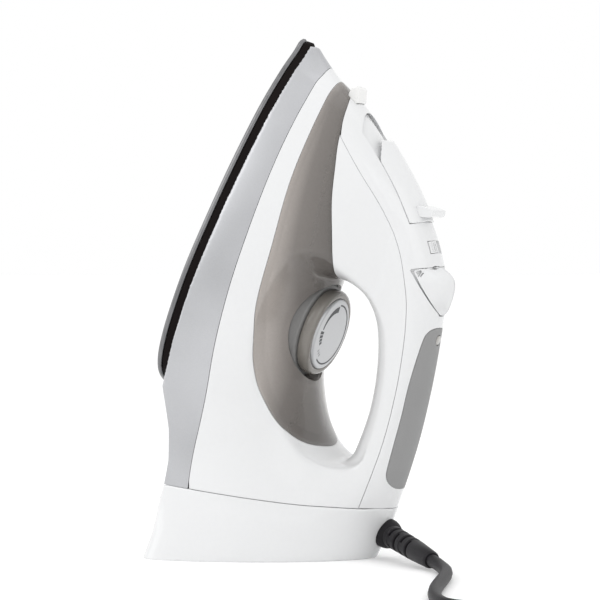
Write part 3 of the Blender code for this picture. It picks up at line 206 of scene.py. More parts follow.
def at(s, y, h):
    """A point of the iron, in its own lying frame."""
    return Vector((-s, y, h)) * MM


def stand_matrix():
    sine = math.sin(TILT)
    cosine = math.cos(TILT)
    return Matrix(((sine, 0, cosine, STAND_X * MM), (0, -1, 0, 0), (cosine, 0, -sine, TIP_HEIGHT * MM),
                   (0, 0, 0, 1)))


STAND = stand_matrix()
STAND_BACK = STAND.inverted()


def add(name, bm, standing=False):
    """Turns a bmesh into an object, stood up with the iron unless it already stands."""
    bmesh.ops.recalc_face_normals(bm, faces=bm.faces)
    mesh = bpy.data.meshes.new(name)
    if not standing:
        bm.transform(STAND)
    bm.to_mesh(mesh)
    bm.free()
    obj = bpy.data.objects.new(name, mesh)
    bpy.context.scene.collection.objects.link(obj)
    return obj


def settle(obj):
    """Applies the object's modifiers."""
    bpy.context.view_layer.update()
    graph = bpy.context.evaluated_depsgraph_get()
    mesh = bpy.data.meshes.new_from_object(obj.evaluated_get(graph))
    obj.modifiers.clear()
    obj.data = mesh
    return obj


def combine(obj, other, operation, keep=False):
    """Cuts, joins or keeps the common part of two closed meshes, and removes the second."""
    mod = obj.modifiers.new("shape", "BOOLEAN")
    mod.operation = operation
    mod.object = other
    mod.solver = "MANIFOLD"
    settle(obj)
    if not keep:
        bpy.data.objects.remove(other, do_unlink=True)
    return obj


def cut(obj, other, keep=False):
    return combine(obj, other, "DIFFERENCE", keep)


def common(obj, other, keep=False):
    return combine(obj, other, "INTERSECT", keep)


def join(obj, other):
    return combine(obj, other, "UNION")


def copy_of(obj, name):
    twin = obj.copy()
    twin.data = obj.data.copy()
    twin.name = name
    bpy.context.scene.collection.objects.link(twin)
    return twin


def soften(obj, voxel, rounds):
    """Rounds every edge: an even fine mesh, then relaxed."""
    remesh = obj.modifiers.new("even", "REMESH")
    remesh.mode = "VOXEL"
    remesh.voxel_size = voxel * MM
    relax = obj.modifiers.new("relax", "SMOOTH")
    relax.factor = 0.5
    relax.iterations = rounds
    return settle(obj)


def relax_flanks(obj):
    """Rounds the edge of the finger opening further where it runs out into the flanks."""
    group = obj.vertex_groups.new(name="flanks")
    for vert in obj.data.vertices:
        local = STAND_BACK @ vert.co / MM
        weight = step(abs(local.y), 17.0, 24.0) * step(-local.x, 100.0, 118.0)
        weight *= step(228.0 + local.x, 0.0, 12.0)
        weight *= step(local.z, 44.0, 54.0) * step(122.0 - local.z, 0.0, 8.0)
        if weight > 0.01:
            group.add([vert.index], weight, "REPLACE")
    relax = obj.modifiers.new("relax", "SMOOTH")
    relax.factor = 0.5
    relax.iterations = 90
    relax.vertex_group = "flanks"
    return settle(obj)


def dress(obj, mat, body, nodes=(), angle=34.0):
    """Material, shading, the body it moves with and the CAD nodes it stands for."""
    obj.data.materials.clear()
    obj.data.materials.append(mat)
    if obj.type == "MESH":
        obj.data.shade_smooth()
        obj.data.set_sharp_from_angle(angle=math.radians(angle))
    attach(obj, body)
    if nodes:
        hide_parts(*nodes)
    return obj


def rings_solid(rings):
    """Closed solid through equal rings of points, capped at both ends."""
    bm = bmesh.new()
    loops = [[bm.verts.new(p) for p in ring] for ring in rings]
    for low, high in zip(loops, loops[1:]):
        for i in range(len(low)):
            j = (i + 1) % len(low)
            bm.faces.new((low[i], low[j], high[j], high[i]))
    bm.faces.new(loops[0])
    bm.faces.new(loops[-1])
    return bm


def prism(outline, y0, y1):
    """Side outline (s, h) drawn out across the iron."""
    return rings_solid([[at(s, y, h) for s, h in outline] for y in (y0, y1)])


def slab(outline, h0, h1):
    """Plan outline (s, y) drawn out upward."""
    return rings_solid([[at(s, y, h) for s, y in outline] for h in (h0, h1)])


def lathe(profile, sides, placed=None):
    """Turned solid: profile of (radius, height) from one end to the other."""
    rings = []
    for radius, height in profile:
        rings.append([Vector((radius * math.cos(2 * math.pi * i / sides),
                              radius * math.sin(2 * math.pi * i / sides), height)) * MM
                      for i in range(sides)])
    bm = rings_solid(rings)
    if placed is not None:
        bm.transform(placed)
    return bm


def ring_of(profile, sides, placed=None):
    """Turned ring: closed profile of (radius, height)."""
    bm = bmesh.new()
    loops = []
    for i in range(sides):
        a = 2 * math.pi * i / sides
        loops.append([bm.verts.new(Vector((r * math.cos(a), r * math.sin(a), h)) * MM) for r, h in profile])
    for i in range(sides):
        low = loops[i]
        high = loops[(i + 1) % sides]
        for j in range(len(profile)):
            k = (j + 1) % len(profile)
            bm.faces.new((low[j], low[k], high[k], high[j]))
    if placed is not None:
        bm.transform(placed)
    return bm


def upright(s, y, h=0.0):
    """Placement of a turned piece whose axis is square to the soleplate."""
    return Matrix.Translation(at(s, y, h))


def aimed(point, way):
    """Placement of a turned piece whose axis points along a direction."""
    return Matrix.Translation(point) @ way.to_track_quat("Z", "Y").to_matrix().to_4x4()


# ---------------------------------------------------------------- camera

def make_camera():
    data = bpy.data.cameras.new("camera")
    data.lens = 168.96
    data.sensor_width = 36.0
    data.clip_end = 20.0
    camera = bpy.data.objects.new("camera", data)
    bpy.context.scene.collection.objects.link(camera)
    eye = Vector((0.6659, -1.4499, 0.1725))
    target = Vector((-0.0102, 0.0, 0.1446))
    camera.location = eye
    camera.rotation_mode = "QUATERNION"
    camera.rotation_quaternion = (target - eye).to_track_quat("-Z", "Y")
    bpy.context.scene.camera = camera


# ---------------------------------------------------------------- materials

class Paint:
    """Builds one procedural material: colour, roughness and relief all vary over the surface."""

    def __init__(self, name, colour, roughness, metallic=0.0, grain=700.0, vary=0.03, rough_vary=0.05,
                 relief=0.00002, coat=0.0, alpha=1.0, stretch=(1, 1, 1), slow=18.0, specular=0.5, shade_fall=None):
        self.mat = bpy.data.materials.new(name)
        self.mat.use_nodes = True
        self.nodes = self.mat.node_tree.nodes
        self.links = self.mat.node_tree.links
        self.shader = self.nodes["Principled BSDF"]
        self.set("Metallic", metallic)
        self.set("Alpha", alpha)
        self.set("Coat Weight", coat)
        self.set("Coat Roughness", 0.06)
        self.set("Specular IOR Level", specular)
        self.mat.diffuse_color = (*colour, alpha)
        place = self.nodes.new("ShaderNodeTexCoord").outputs["Object"]
        mapping = self.nodes.new("ShaderNodeMapping")
        mapping.inputs["Scale"].default_value = stretch
        self.links.new(place, mapping.inputs["Vector"])
        self.place = mapping.outputs["Vector"]
        self.fine = self.noise(grain, 3.0)
        broad = self.noise(slow, 2.0)
        blend = self.nodes.new("ShaderNodeMath")
        blend.operation = "MULTIPLY_ADD"
        blend.inputs[1].default_value = 0.5
        self.links.new(self.fine, blend.inputs[0])
        half = self.nodes.new("ShaderNodeMath")
        half.operation = "MULTIPLY"
        half.inputs[1].default_value = 0.5
        self.links.new(broad, half.inputs[0])
        self.links.new(half.outputs[0], blend.inputs[2])
        self.mixed = blend.outputs[0]
        self.colour = self.between([c * (1 - vary) for c in colour],
                                   [min(c * (1 + vary), 1.0) for c in colour])
        # where a fall of painted shade is given, the colour is darkened along the iron
        self.links.new(self.painted_shade(shade_fall) if shade_fall else self.colour, self.shader.inputs["Base Color"])
        rough = self.nodes.new("ShaderNodeMapRange")
        rough.inputs["To Min"].default_value = max(roughness - rough_vary, 0.02)
        rough.inputs["To Max"].default_value = roughness + rough_vary
        self.links.new(self.mixed, rough.inputs["Value"])
        self.links.new(rough.outputs["Result"], self.shader.inputs["Roughness"])
        if relief:
            bump = self.nodes.new("ShaderNodeBump")
            bump.inputs["Strength"].default_value = 1.0
            bump.inputs["Distance"].default_value = relief
            self.links.new(self.fine, bump.inputs["Height"])
            self.links.new(bump.outputs["Normal"], self.shader.inputs["Normal"])

    def set(self, socket, value):
        self.shader.inputs[socket].default_value = value

    def noise(self, scale, detail):
        node = self.nodes.new("ShaderNodeTexNoise")
        node.inputs["Scale"].default_value = scale
        node.inputs["Detail"].default_value = detail
        self.links.new(self.place, node.inputs["Vector"])
        return node.outputs["Fac"]

    def painted_shade(self, shade_fall):
        """Painted shade: the colour, darker towards the handle and the heel, by shares of it at places on
        the way.
        """
        way = self.nodes.new("ShaderNodeVectorMath")
        way.operation = "DOT_PRODUCT"
        way.inputs[1].default_value = (25.0, 0.0, -3.75)
        self.links.new(self.place, way.inputs[0])
        start = self.nodes.new("ShaderNodeMath")
        start.inputs[1].default_value = 0.75
        self.links.new(way.outputs["Value"], start.inputs[0])
        ramp = self.nodes.new("ShaderNodeValToRGB")
        stops = ramp.color_ramp.elements
        stops.new(shade_fall[1][0])
        for stop, (place, share) in zip(stops, shade_fall):
            stop.position = place
            stop.color = (share, share, share, 1.0)
        self.links.new(start.outputs[0], ramp.inputs["Fac"])
        product = self.nodes.new("ShaderNodeVectorMath")
        product.operation = "MULTIPLY"
        self.links.new(self.colour, product.inputs[0])
        self.links.new(ramp.outputs["Color"], product.inputs[1])
        return product.outputs["Vector"]

    def between(self, dark, light):
        ramp = self.nodes.new("ShaderNodeValToRGB")
        ramp.color_ramp.elements[0].position = 0.3
        ramp.color_ramp.elements[0].color = (*dark, 1.0)
        ramp.color_ramp.elements[1].position = 0.7
        ramp.color_ramp.elements[1].color = (*light, 1.0)
        self.links.new(self.mixed, ramp.inputs["Fac"])
        return ramp.outputs["Color"]


# painted shade on the tank: how it darkens from its floor side to its handle side; share of the way, share
# of the colour
TANK_PAINTED_SHADE = [(0.0, 1.0), (0.25, 0.47), (0.95, 0.2)]


def make_paints():
    paints = {
        "white": Paint("gloss_white", (0.7, 0.705, 0.71), 0.2, vary=0.012, rough_vary=0.04, relief=0.000006,
                       coat=0.25, grain=420.0),
        "silver": Paint("silver_paint", (0.46, 0.465, 0.48), 0.36, metallic=0.72, grain=3600.0, vary=0.14,
                        relief=0.00002, coat=0.3),
        "black": Paint("black_plastic", (0.007, 0.005, 0.005), 0.5, grain=1500.0, vary=0.2, specular=0.05),
        "sole": Paint("polished_sole", (0.20, 0.20, 0.205), 0.34, metallic=0.9, grain=500.0, vary=0.25,
                      rough_vary=0.12, stretch=(1, 1, 0.15), relief=0.00001),
        # the tank's smoke colour carries painted shade, darker towards the handle side
        "smoke": Paint("smoke_tank", (0.47, 0.43, 0.4), 0.13, vary=0.05, alpha=0.7, relief=0.000004,
                       coat=0.4, shade_fall=TANK_PAINTED_SHADE),
        "grip": Paint("soft_grip", (0.262, 0.262, 0.262), 0.62, grain=2600.0, vary=0.06, relief=0.00005),
        "taupe": Paint("taupe_ring", (0.215, 0.2, 0.18), 0.2, vary=0.06, alpha=0.85, coat=0.4),
        "collar": Paint("dial_seat", (0.165, 0.163, 0.16), 0.4, vary=0.06),
        "hub": Paint("dial_hub", (0.14, 0.135, 0.13), 0.4, vary=0.08),
        "face": Paint("dial_face", (0.52, 0.525, 0.535), 0.34, metallic=0.55, grain=2400.0, vary=0.05),
        "ink": Paint("dial_ink", (0.05, 0.05, 0.055), 0.5, vary=0.1),
        "mark": Paint("tank_ink", (0.12, 0.12, 0.125), 0.5, vary=0.1),
        "charcoal": Paint("lead_rubber", (0.012, 0.011, 0.013), 0.5, grain=1800.0, vary=0.15, relief=0.00006,
                          specular=0.2),
        "steel": Paint("bare_steel", (0.55, 0.55, 0.56), 0.3, metallic=1.0, grain=900.0,
                       stretch=(1, 1, 0.2)),
        "brass": Paint("brass", (0.70, 0.52, 0.25), 0.32, metallic=1.0, grain=900.0),
        "silicone": Paint("silicone", (0.62, 0.52, 0.41), 0.55, grain=900.0),
        "inner": Paint("natural_plastic", (0.74, 0.73, 0.71), 0.42, grain=900.0),
        "milk": Paint("milky_plastic", (0.77, 0.77, 0.76), 0.3, vary=0.02, coat=0.2),
        "lens": Paint("lens", (0.42, 0.41, 0.39), 0.12, vary=0.05, coat=0.6),
        "lamp": Paint("lamp", (0.75, 0.28, 0.14), 0.25),
    }
    return {key: paint.mat for key, paint in paints.items()}


# ---------------------------------------------------------------- mains lead

LEAD_ROUTE = [
    (62.1, 79.9, 5.5), (64.6, 88.0, 4.5), (66.6, 98.0, 3.65), (67.6, 111.0, 3.65), (67.0, 127.0, 3.65),
    (65.0, 144.0, 3.65), (62.4, 162.0, 3.65), (59.8, 181.0, 3.65), (57.8, 200.0, 3.65), (56.8, 220.0, 3.65),
    (57.4, 239.0, 3.65), (61.0, 255.0, 3.65), (70.5, 266.0, 3.65), (84.5, 270.0, 3.65), (100.0, 271.0, 3.65),
    (114.0, 271.0, 3.65), (128.0, 270.6, 3.65), (142.0, 270.0, 3.65), (157.0, 266.0, 3.65),
    (168.0, 255.0, 3.65), (172.0, 240.0, 3.65), (172.6, 222.0, 3.65), (172.8, 204.0, 3.65),
    (172.6, 186.0, 3.65), (172.2, 168.0, 3.65), (172.0, 150.0, 4.2), (172.0, 138.0, 4.8),
    (172.0, 127.4, 5.0)]
TAIL_ROUTE = [
    (270.6, 127.4, 12.0), (270.6, 137.0, 11.6), (268.6, 149.4, 10.9), (261.9, 159.4, 10.1),
    (252.0, 165.2, 9.3), (240.6, 167.0, 8.8), (236.9, 167.0, 8.7)]


def on_floor(across, near, height):
    """Point given along and square to the lead's first direction, over the surface it lies on."""
    return (ACROSS * across + NEAR * near + Vector((0, 0, height))) * MM


def coil_radius(turn):
    """Radius of the wound lead after so many turns: in over the low layer, out over the high one."""
    pitch = (COIL_OUTER - COIL_INNER) / 3.0
    if turn < 3.0:
        return COIL_OUTER - pitch * turn
    if turn < 3.5:
        return COIL_INNER - 0.9 * math.sin(math.pi * (turn - 3.0) / 0.5)
    return min(COIL_INNER + pitch * (turn - 3.5), COIL_OUTER)


def coil_points(turns=7.5, per_turn=48):
    """The wound part of the lead, two layers high, from the side that it comes in on."""
    out = []
    for i in range(1, round(turns * per_turn)):
        turn = i / per_turn
        a = 2 * math.pi * turn
        radius = coil_radius(turn)
        rise = TURN_UP * (step(turn, 3.0, 3.5) - 0.5)
        way = -ACROSS * math.cos(a) - NEAR * math.sin(a)
        out.append((COIL_CENTRE + way * radius + Vector((0, 0, rise))) * MM)
    return out


def make_lead(paints):
    run = rounded([on_floor(*p) for p in LEAD_ROUTE], 4)
    tail = rounded([on_floor(*p) for p in TAIL_ROUTE], 4)
    points = run + coil_points() + tail
    data = bpy.data.curves.new("lead", "CURVE")
    data.dimensions = "3D"
    data.bevel_depth = LEAD_R * MM
    data.bevel_resolution = 4
    data.use_fill_caps = True
    data.resolution_u = 1
    spline = data.splines.new("POLY")
    spline.points.add(len(points) - 1)
    for item, point in zip(spline.points, points):
        item.co = (*point, 1.0)
    lead = bpy.data.objects.new("lead", data)
    bpy.context.scene.collection.objects.link(lead)
    dress(lead, paints["charcoal"], "housing", ["cord_tube", "cord_coil", "cord_tail"])


# ---------------------------------------------------------------- the body's form

def flank(s, h):
    """Half width of the body at one place, without its crown."""
    foot = along(FOOT, s)
    top = along(TOP, s)
    rise = min(max((h - 8.0) / (SIDE_TOP - 8.0), 0.0), 1.0)
    if foot > HANDLE_HALF:
        width = HANDLE_HALF + (foot - HANDLE_HALF) * (1 - rise ** 1.8) ** 1.3
    else:
        width = foot
    lean = min(max((h - BODY_BOTTOM) / max(top - BODY_BOTTOM, 1.0), 0.0), 1.0)
    return width * (1 - 0.3 * lean * (1 - step(s, 20.0, 80.0)))


def rear_flank(s, h):
    """Half width of the heel end, which is egg-shaped and flares towards the surface."""
    top = along(TOP, s)
    half = HEEL_HALF + 4.0 * max((s - 250.0) / 40.0, 0.0) ** 1.3
    high = min(max((h - 45.0) / (top - 45.0), 0.0), 1.0)
    low = min(max((45.0 - h) / 27.0, 0.0), 0.96)
    corner = 1 - step(s, 255.0, 290.0) * (1 - (1 - low ** 3) ** (1 / 3))
    return half * (1 - high ** 1.8) ** (1 / 1.8) * corner


def section(s, inset, rise, bottom, levels=30, crown_steps=15):
    """Half section of the body at s: (y, h) from the bottom centre to the top centre."""
    full_top = along(TOP, s)
    top = full_top + rise - inset
    crown = min(HANDLE_HALF - 0.5, 0.8 * (full_top - BODY_BOTTOM))
    spring_h = full_top + rise - crown
    reach = max(crown - inset, 0.8)
    rear = step(s, 195.0, 255.0)
    places = [(bottom + (spring_h - bottom) * i / levels, 1.0) for i in range(levels + 1)]
    angles = [math.radians(85.0 * (i + 1) / crown_steps) for i in range(crown_steps)]
    places += [(top - reach + reach * math.sin(a), math.cos(a)) for a in angles]
    out = [(0.0, bottom)]
    for h, crowned in places:
        body = max(flank(s, h - rise) - inset, 0.5) * crowned
        heel = max(rear_flank(s, h) - inset, 0.5)
        out.append((body * (1 - rear) + heel * rear, h))
    out.append((0.0, top))
    return out


def stations():
    """Places of the cross-sections, closer together at the nose."""
    out = []
    s = 1.4
    while s < 306.0:
        out.append(s)
        s += 1.0 + 1.6 * step(s, 5.0, 60.0)
    return out + [306.0]


def form(inset=0.0, rise=0.0, bottom=BODY_BOTTOM, name="form"):
    """The whole outer form of the body, moved in by inset and up by rise."""
    rings = []
    for s in stations():
        back = s - max(inset, 0.0) * (1 - step(s, 12.0, 40.0))
        if back < 1.4 or along(FOOT, back) <= inset + 1.5 or along(TOP, back) - BODY_BOTTOM <= inset + 3.0:
            continue
        half = section(back, inset, rise, bottom)
        left = [at(s, y, h) for y, h in half]
        right = [at(s, -y, h) for y, h in half[-2:0:-1]]
        rings.append(left + right)
    return add(name, rings_solid(rings))


def ease_out(y, half, reach):
    """Quarter-round edge of a bar of given half width."""
    t = min(y / half, 0.985)
    return reach * (1 - math.sqrt(1 - t * t)) + max(y - half, 0.0) * 0.8


def opening_reach(y):
    """How far the opening's front, rear, floor and ceiling move outward at a distance from the centre."""
    y = abs(y)
    floor = 0.5 * (math.sqrt(15.0 ** 2 + y * y) - 15.0)
    return ease_out(y, 30.0, 11.0), ease_out(y, 36.0, 9.0), floor, ease_out(y, HANDLE_HALF, 13.0)


def opening_cutter(grow, name="opening"):
    """Solid of the finger opening, with its edges rounded over towards both flanks."""
    outline = [tuple(p) for p in rounded(OPENING, 8, closed=True)]
    grown = offset(outline, grow) if grow else outline
    normals = [(Vector(b) - Vector(a)).normalized() for a, b in zip(outline, offset(outline, 1.0))]
    halves = [0.9 * i for i in range(20)] + [17.6, 18.1, 18.5, 19.5, 21.0, 23.0, 25.0, 27.0, 28.4, 29.5,
                                            31.0, 33.0, 34.6, 35.5, 37.0, 42.0, 50.0, 72.0]
    rings = []
    for y in [-v for v in halves[:0:-1]] + halves:
        front, rear, floor, ceiling = opening_reach(y)
        ring = []
        for (s, h), n in zip(grown, normals):
            move_s = n.x * (rear if n.x > 0 else front)
            move_h = n.y * (ceiling if n.y > 0 else floor)
            ring.append(at(s + move_s, y, h + move_h))
        rings.append(ring)
    return add(name, rings_solid(rings))


def region(outline, name="region"):
    return add(name, prism(outline, -90.0, 90.0))


def tank_outline():
    return smooth_line(TANK_LOW) + smooth_line(TANK_HIGH)[::-1]


# ---------------------------------------------------------------- shells

def make_shells(paints):
    """Skirt, body, tank and handle cover, cut from one rounded form along their seams."""
    whole = relax_flanks(soften(cut(form(), opening_cutter(0.0)), VOXEL, 9))
    hollow = cut(form(WALL, 0.0, 4.0, "hollow"), opening_cutter(WALL))

    seam = smooth_line(SKIRT_SEAM[:-1] + [(254.0, 41.0)])
    skirt = common(copy_of(whole, "skirt_shell"), region(
        [(-6.0, 4.0)] + UNDERLINE + [(253.4, 41.0)] + seam[-2::-1]))
    inner = [(-6.0, 2.0), (200.5, 2.0), (201.2, 11.0), (226.0, 21.8), (243.0, 27.2), (262.0, 29.6),
             (262.0, 60.0), (-6.0, 60.0)]
    cut(skirt, common(copy_of(hollow, "skirt_room"), region(inner)))
    dress(skirt, paints["silver"], "housing", ["skirt"])

    gap = [(s, h + GAP) for s, h in seam]
    heel_side = smooth_line([(s - GAP, h) for s, h in HEEL_SEAM[2:8]])
    handle = smooth_line([(s, h - GAP) for s, h in HANDLE_SEAM])
    main = common(copy_of(whole, "body_shell"), region(
        gap[:-1] + heel_side + [(234.4, 128.1)] + handle[-4::-1]
        + [(30.0, 42.0), (18.0, 36.0), (-6.0, 33.0)]))
    cut(main, region(offset(tank_outline(), GAP)))
    cut(main, hollow, keep=True)
    dress(main, paints["white"], "housing", ["main_body"])

    tank = common(copy_of(whole, "tank_shell"), region(tank_outline()))
    room = common(copy_of(hollow, "tank_room"), region(offset(tank_outline(), -WALL)))
    cut(room, add("dial_column", lathe([(7.5, 0), (7.5, 90)], 32, upright(DIAL_S, 0))))
    cut(room, add("seat_floor", lathe([(31.0, 53.3), (31.0, 90.0)], 64, upright(DIAL_S, 0))))
    cut(tank, room)
    cut(tank, add("pocket", lathe([(28.0, 56.0), (28.0, 90.0)], 96, upright(DIAL_S, 0))))
    for s, radius in ((DIAL_S, 4.2), (NEEDLE_S, 2.4), (62.0, 4.6)):
        low = 50.0 if s == 62.0 else 20.0
        cut(tank, add("bore", lathe([(radius, low), (radius, 90.0)], 24, upright(s, 0))))
    dress(tank, paints["smoke"], "housing", ["water_tank"])

    cover_room = cut(form(COVER_WALL, 0.0, 4.0, "cover_room"), opening_cutter(COVER_WALL))
    high = [(s, h + GAP) for s, h in smooth_line(TANK_HIGH[:5])]
    cover = common(copy_of(whole, "cover_shell"), region(
        high + smooth_line(HANDLE_SEAM)[:-3] + [(234.4, 128.4), (231.4, 139.5), (230.2, 160.0),
                                                (-6.0, 160.0)]))
    cut(cover, cover_room)
    bpy.data.objects.remove(hollow, do_unlink=True)
    return whole, cover, tank


def s_on_surface(h):
    """Where the surface that the iron stands on meets the height h."""
    return (TIP_HEIGHT - h * math.sin(TILT)) / math.cos(TILT)


def ball_seat():
    bm = bmesh.new()
    bmesh.ops.create_uvsphere(bm, u_segments=48, v_segments=24, radius=(BUSH_R + GAP) * MM)
    bm.transform(Matrix.Translation(at(BUSH_S, 0, BUSH_H)))
    return add("ball_seat", bm)


def make_heel(paints):
    """Heel base: slightly proud of the body, with a flat foot and a closed floor."""
    foot_line = [(s_on_surface(150.0), 150.0), (s_on_surface(UNDERSIDE), UNDERSIDE)]
    seam = smooth_line(HEEL_SEAM[1:])
    outline = [(256.7, UNDERSIDE)] + seam[1:-1] + [(231.0, 150.0)] + foot_line
    heel = common(form(-0.8, 0.0, 15.0, "heel_shell"), region(outline))
    inner = [(240.0, 150.0), (225.0, 150.0), (225.0, 29.2), (s_on_surface(29.2) - 2.7, 29.2),
             (s_on_surface(150.0) - 2.7, 150.0)]
    soften(heel, VOXEL * 0.8, 3)
    cut(heel, common(form(WALL - 0.8, 0.0, 15.0, "heel_room"), region(inner)))
    cut(heel, ball_seat())
    placed = aimed(STAND @ at(BUSH_S, 0, BUSH_H), GUARD_WAY)
    notch = lathe([(6.9, 5.2), (8.6, 9.0), (13.0, 22.0)], 48, placed)
    cut(heel, add("notch", notch, True))
    return dress(heel, paints["white"], "housing", ["heel_base"])


# ---------------------------------------------------------------- foot of the iron

def plan(inset, per_span=8):
    """Closed soleplate outline, moved in by inset."""
    half = rounded(SOLE, per_span)
    left = [(p.x, p.y) for p in half]
    right = [(p.x, -p.y) for p in half[-2:0:-1]]
    return offset(left + right, -inset) if inset else left + right


def drawn_in(inset):
    """Soleplate outline made smaller without crossing itself: it draws in further at the nose."""
    length = SOLE[-1][0]
    front = 2.5 * inset
    long = (length - front - inset) / length
    wide = 1 - inset / max(half for s, half in SOLE)
    return [(front + s * long, y * wide) for s, y in plan(0.0)]


def make_soleplate(paints):
    profile = [(1.5, 0.0), (0.9, 0.12), (0.4, 0.5), (0.1, 1.0), (0.0, 1.6), (0.0, 2.5), (0.3, 3.0),
               (0.7, 3.2)]
    plate = add("sole_shell", rings_solid([[at(s, y, h) for s, y in plan(inset)] for inset, h in profile]))
    holes = [(26.0, 0.0)]
    for i in range(5):
        s = 45.0 + 22.0 * i
        reach = along(SOLE, s) - 12.0
        holes += [(s, reach), (s, -reach)]
    for s, y in holes:
        shape = [(2.6, -1.0), (2.2, 0.25), (1.7, 0.7), (1.6, 6.0)]
        cut(plate, add("vent", lathe(shape, 28, upright(s, y))))
    return dress(plate, paints["sole"], "housing", ["soleplate"])


def make_shield(paints):
    rings = [(0.9, 3.5), (0.6, 3.8), (0.6, SHIELD_TOP - 0.3), (0.9, SHIELD_TOP), (9.0, SHIELD_TOP),
             (9.0, 14.0), (10.5, 12.4), (10.5, 3.5)]
    loops = [[at(s, y, h) for s, y in (plan(inset) if inset < 1 else drawn_in(inset))] for inset, h in rings]
    bm = bmesh.new()
    verts = [[bm.verts.new(p) for p in loop] for loop in loops]
    count = len(verts[0])
    for low, high in [(0, 1), (1, 2), (2, 3), (3, 4), (4, 5), (6, 7), (7, 0)]:
        for i in range(count):
            j = (i + 1) % count
            bm.faces.new((verts[low][i], verts[low][j], verts[high][j], verts[high][i]))
    bm.faces.new(verts[5])
    bm.faces.new(verts[6])
    shield = add("shield_shell", bm)
    for s, y, radius in [(DIAL_S, 0.0, 4.5), (NEEDLE_S, 0.0, 5.2), (186.0, 30.0, 3.0), (186.0, -30.0, 3.0)]:
        cut(shield, add("hole", lathe([(radius, 9.0), (radius, 20.0)], 24, upright(s, y))))
    return dress(shield, paints["black"], "housing", ["heat_shield"])


# ---------------------------------------------------------------- dial

def arc_band(inner, outer, start, end, low, high, taper=False, steps=28):
    """Flat band on the dial's face between two angles, in degrees; it may widen on its way."""
    rings = []
    for i in range(steps + 1):
        t = i / steps
        a = math.radians(start + (end - start) * t)
        reach = outer if not taper else inner + (outer - inner) * (0.3 + 0.7 * t)
        rings.append([Vector((r * math.cos(a), r * math.sin(a), h)) * MM
                      for r, h in ((inner, low), (reach, low), (reach, high), (inner, high))])
    bm = rings_solid(rings)
    bm.transform(upright(DIAL_S, 0))
    return bm


def make_dial(paints):
    centre = upright(DIAL_S, 0)
    seat = [(10.0, 56.4), (27.4, 56.4), (27.4, 62.6), (27.2, 63.2), (26.8, 63.6), (26.2, 63.9), (10.0, 63.9)]
    collar = add("dial_seat", ring_of(seat, 128, centre))
    dress(collar, paints["collar"], "housing", ["dial_collar"])
    ring = [(21.0, 64.3), (24.6, 64.3), (25.0, 64.6), (DIAL_R, 65.0), (DIAL_R, 68.6), (24.9, 69.5),
            (24.4, 70.3), (23.7, 70.8), (22.9, 71.1), (22.2, 71.2), (21.4, 71.0), (21.0, 70.6)]
    dress(add("dial_grip", ring_of(ring, 160, centre)), paints["taupe"], "dial", ["dial_ring"])
    hub = add("dial_core", lathe([(18.0, 64.3), (20.6, 64.8), (20.6, 67.6)], 96, centre))
    dress(hub, paints["hub"], "dial", ["dial_hub"])
    cap = [(20.4, 68.0), (20.75, 68.4), (20.75, 70.9), (20.5, 71.5), (19.9, 71.9), (19.2, 72.05),
           (18.4, 72.1)]
    face = add("dial_plate", lathe(cap, 128, centre))
    dress(face, paints["face"], "dial", ["dial_cap"])
    make_dial_marks(paints)


def make_dial_marks(paints):
    """Part of a ring line, a heat wedge that grows towards the nose, setting blocks and ticks."""
    low, high = 71.9, 72.16
    line = add("dial_marks", arc_band(17.0, 17.9, -2.0, -215.0, low, high, steps=110))
    join(line, add("wedge", arc_band(13.2, 16.8, 76.0, 0.0, low, high, taper=True)))
    for i in range(4):
        start = 80.0 + 9.5 * i
        join(line, add("block", arc_band(11.4, 15.6 - 0.6 * i, start, start + 7.4, low, high, steps=6)))
    for i in range(3):
        start = 128.0 + 8.0 * i
        join(line, add("tick", arc_band(13.6, 15.4, start, start + 1.8, low, high, steps=3)))
    dress(line, paints["ink"], "dial")


# ---------------------------------------------------------------- top of the iron

def slider_placing():
    """Frame of the steam slider: +X along the handle towards the nose, +Z out of its crown."""
    rise = (along(TOP, SLIDER_S + 3) - along(TOP, SLIDER_S - 3)) / 6
    slope = math.atan(rise)
    nose_way = Vector((math.cos(slope), 0, -math.sin(slope)))
    out_way = Vector((math.sin(slope), 0, math.cos(slope)))
    centre = at(SLIDER_S, 0, along(TOP, SLIDER_S)) - out_way * SLIDER_RADIUS * MM
    return Matrix.Translation(centre) @ Matrix((nose_way, Vector((0, 1, 0)), out_way)).transposed().to_4x4()


def sector(inner, outer, half_angle, x0, x1, steps=24):
    """Arc-shaped block, swept about the X axis."""
    angles = [math.radians(-half_angle + 2 * half_angle * i / steps) for i in range(steps + 1)]
    outline = [(outer * math.sin(a), outer * math.cos(a)) for a in angles]
    outline += [(inner * math.sin(a), inner * math.cos(a)) for a in reversed(angles)]
    return rings_solid([[Vector((x, y, z)) * MM for y, z in outline] for x in (x0, x1)])


def turned(bm, placed, degrees=0.0):
    bm.transform(placed @ Matrix.Rotation(math.radians(-degrees), 4, "X"))
    return bm


def make_slider(paints, cover):
    """Knob in a cross groove of the crown, on a stem that swings in a narrow slot."""
    placed = slider_placing()
    groove = add("groove", turned(sector(SLIDER_RADIUS - 2.8, 30.0, 21.5, -3.7, 3.7), placed))
    cut(cover, groove)
    cut(cover, add("slot", turned(sector(12.0, 30.0, 16.0, -1.9, 1.9), placed)))
    knob = turned(sector(SLIDER_RADIUS - 2.4, SLIDER_RADIUS + 0.3, 9.5, -3.4, 3.4), placed, SLIDER_REST)
    slider = add("slider_knob", knob)
    soften(slider, 0.2, 4)
    for degrees in (-4.0, 0.0, 4.0):
        ridge = sector(SLIDER_RADIUS - 0.4, SLIDER_RADIUS + 0.9, 0.9, -2.6, 2.6, 6)
        join(slider, add("ridge", turned(ridge, placed, SLIDER_REST + degrees)))
    stem = sector(15.0, SLIDER_RADIUS - 1.0, 4.0, -1.5, 1.5, 4)
    join(slider, add("stem", turned(stem, placed, SLIDER_REST)))
    return dress(slider, paints["white"], "slider", ["steam_slider"])


@functools.lru_cache(maxsize=None)
def crown_section(s):
    return section(s, 0.0, 0.0, BODY_BOTTOM)


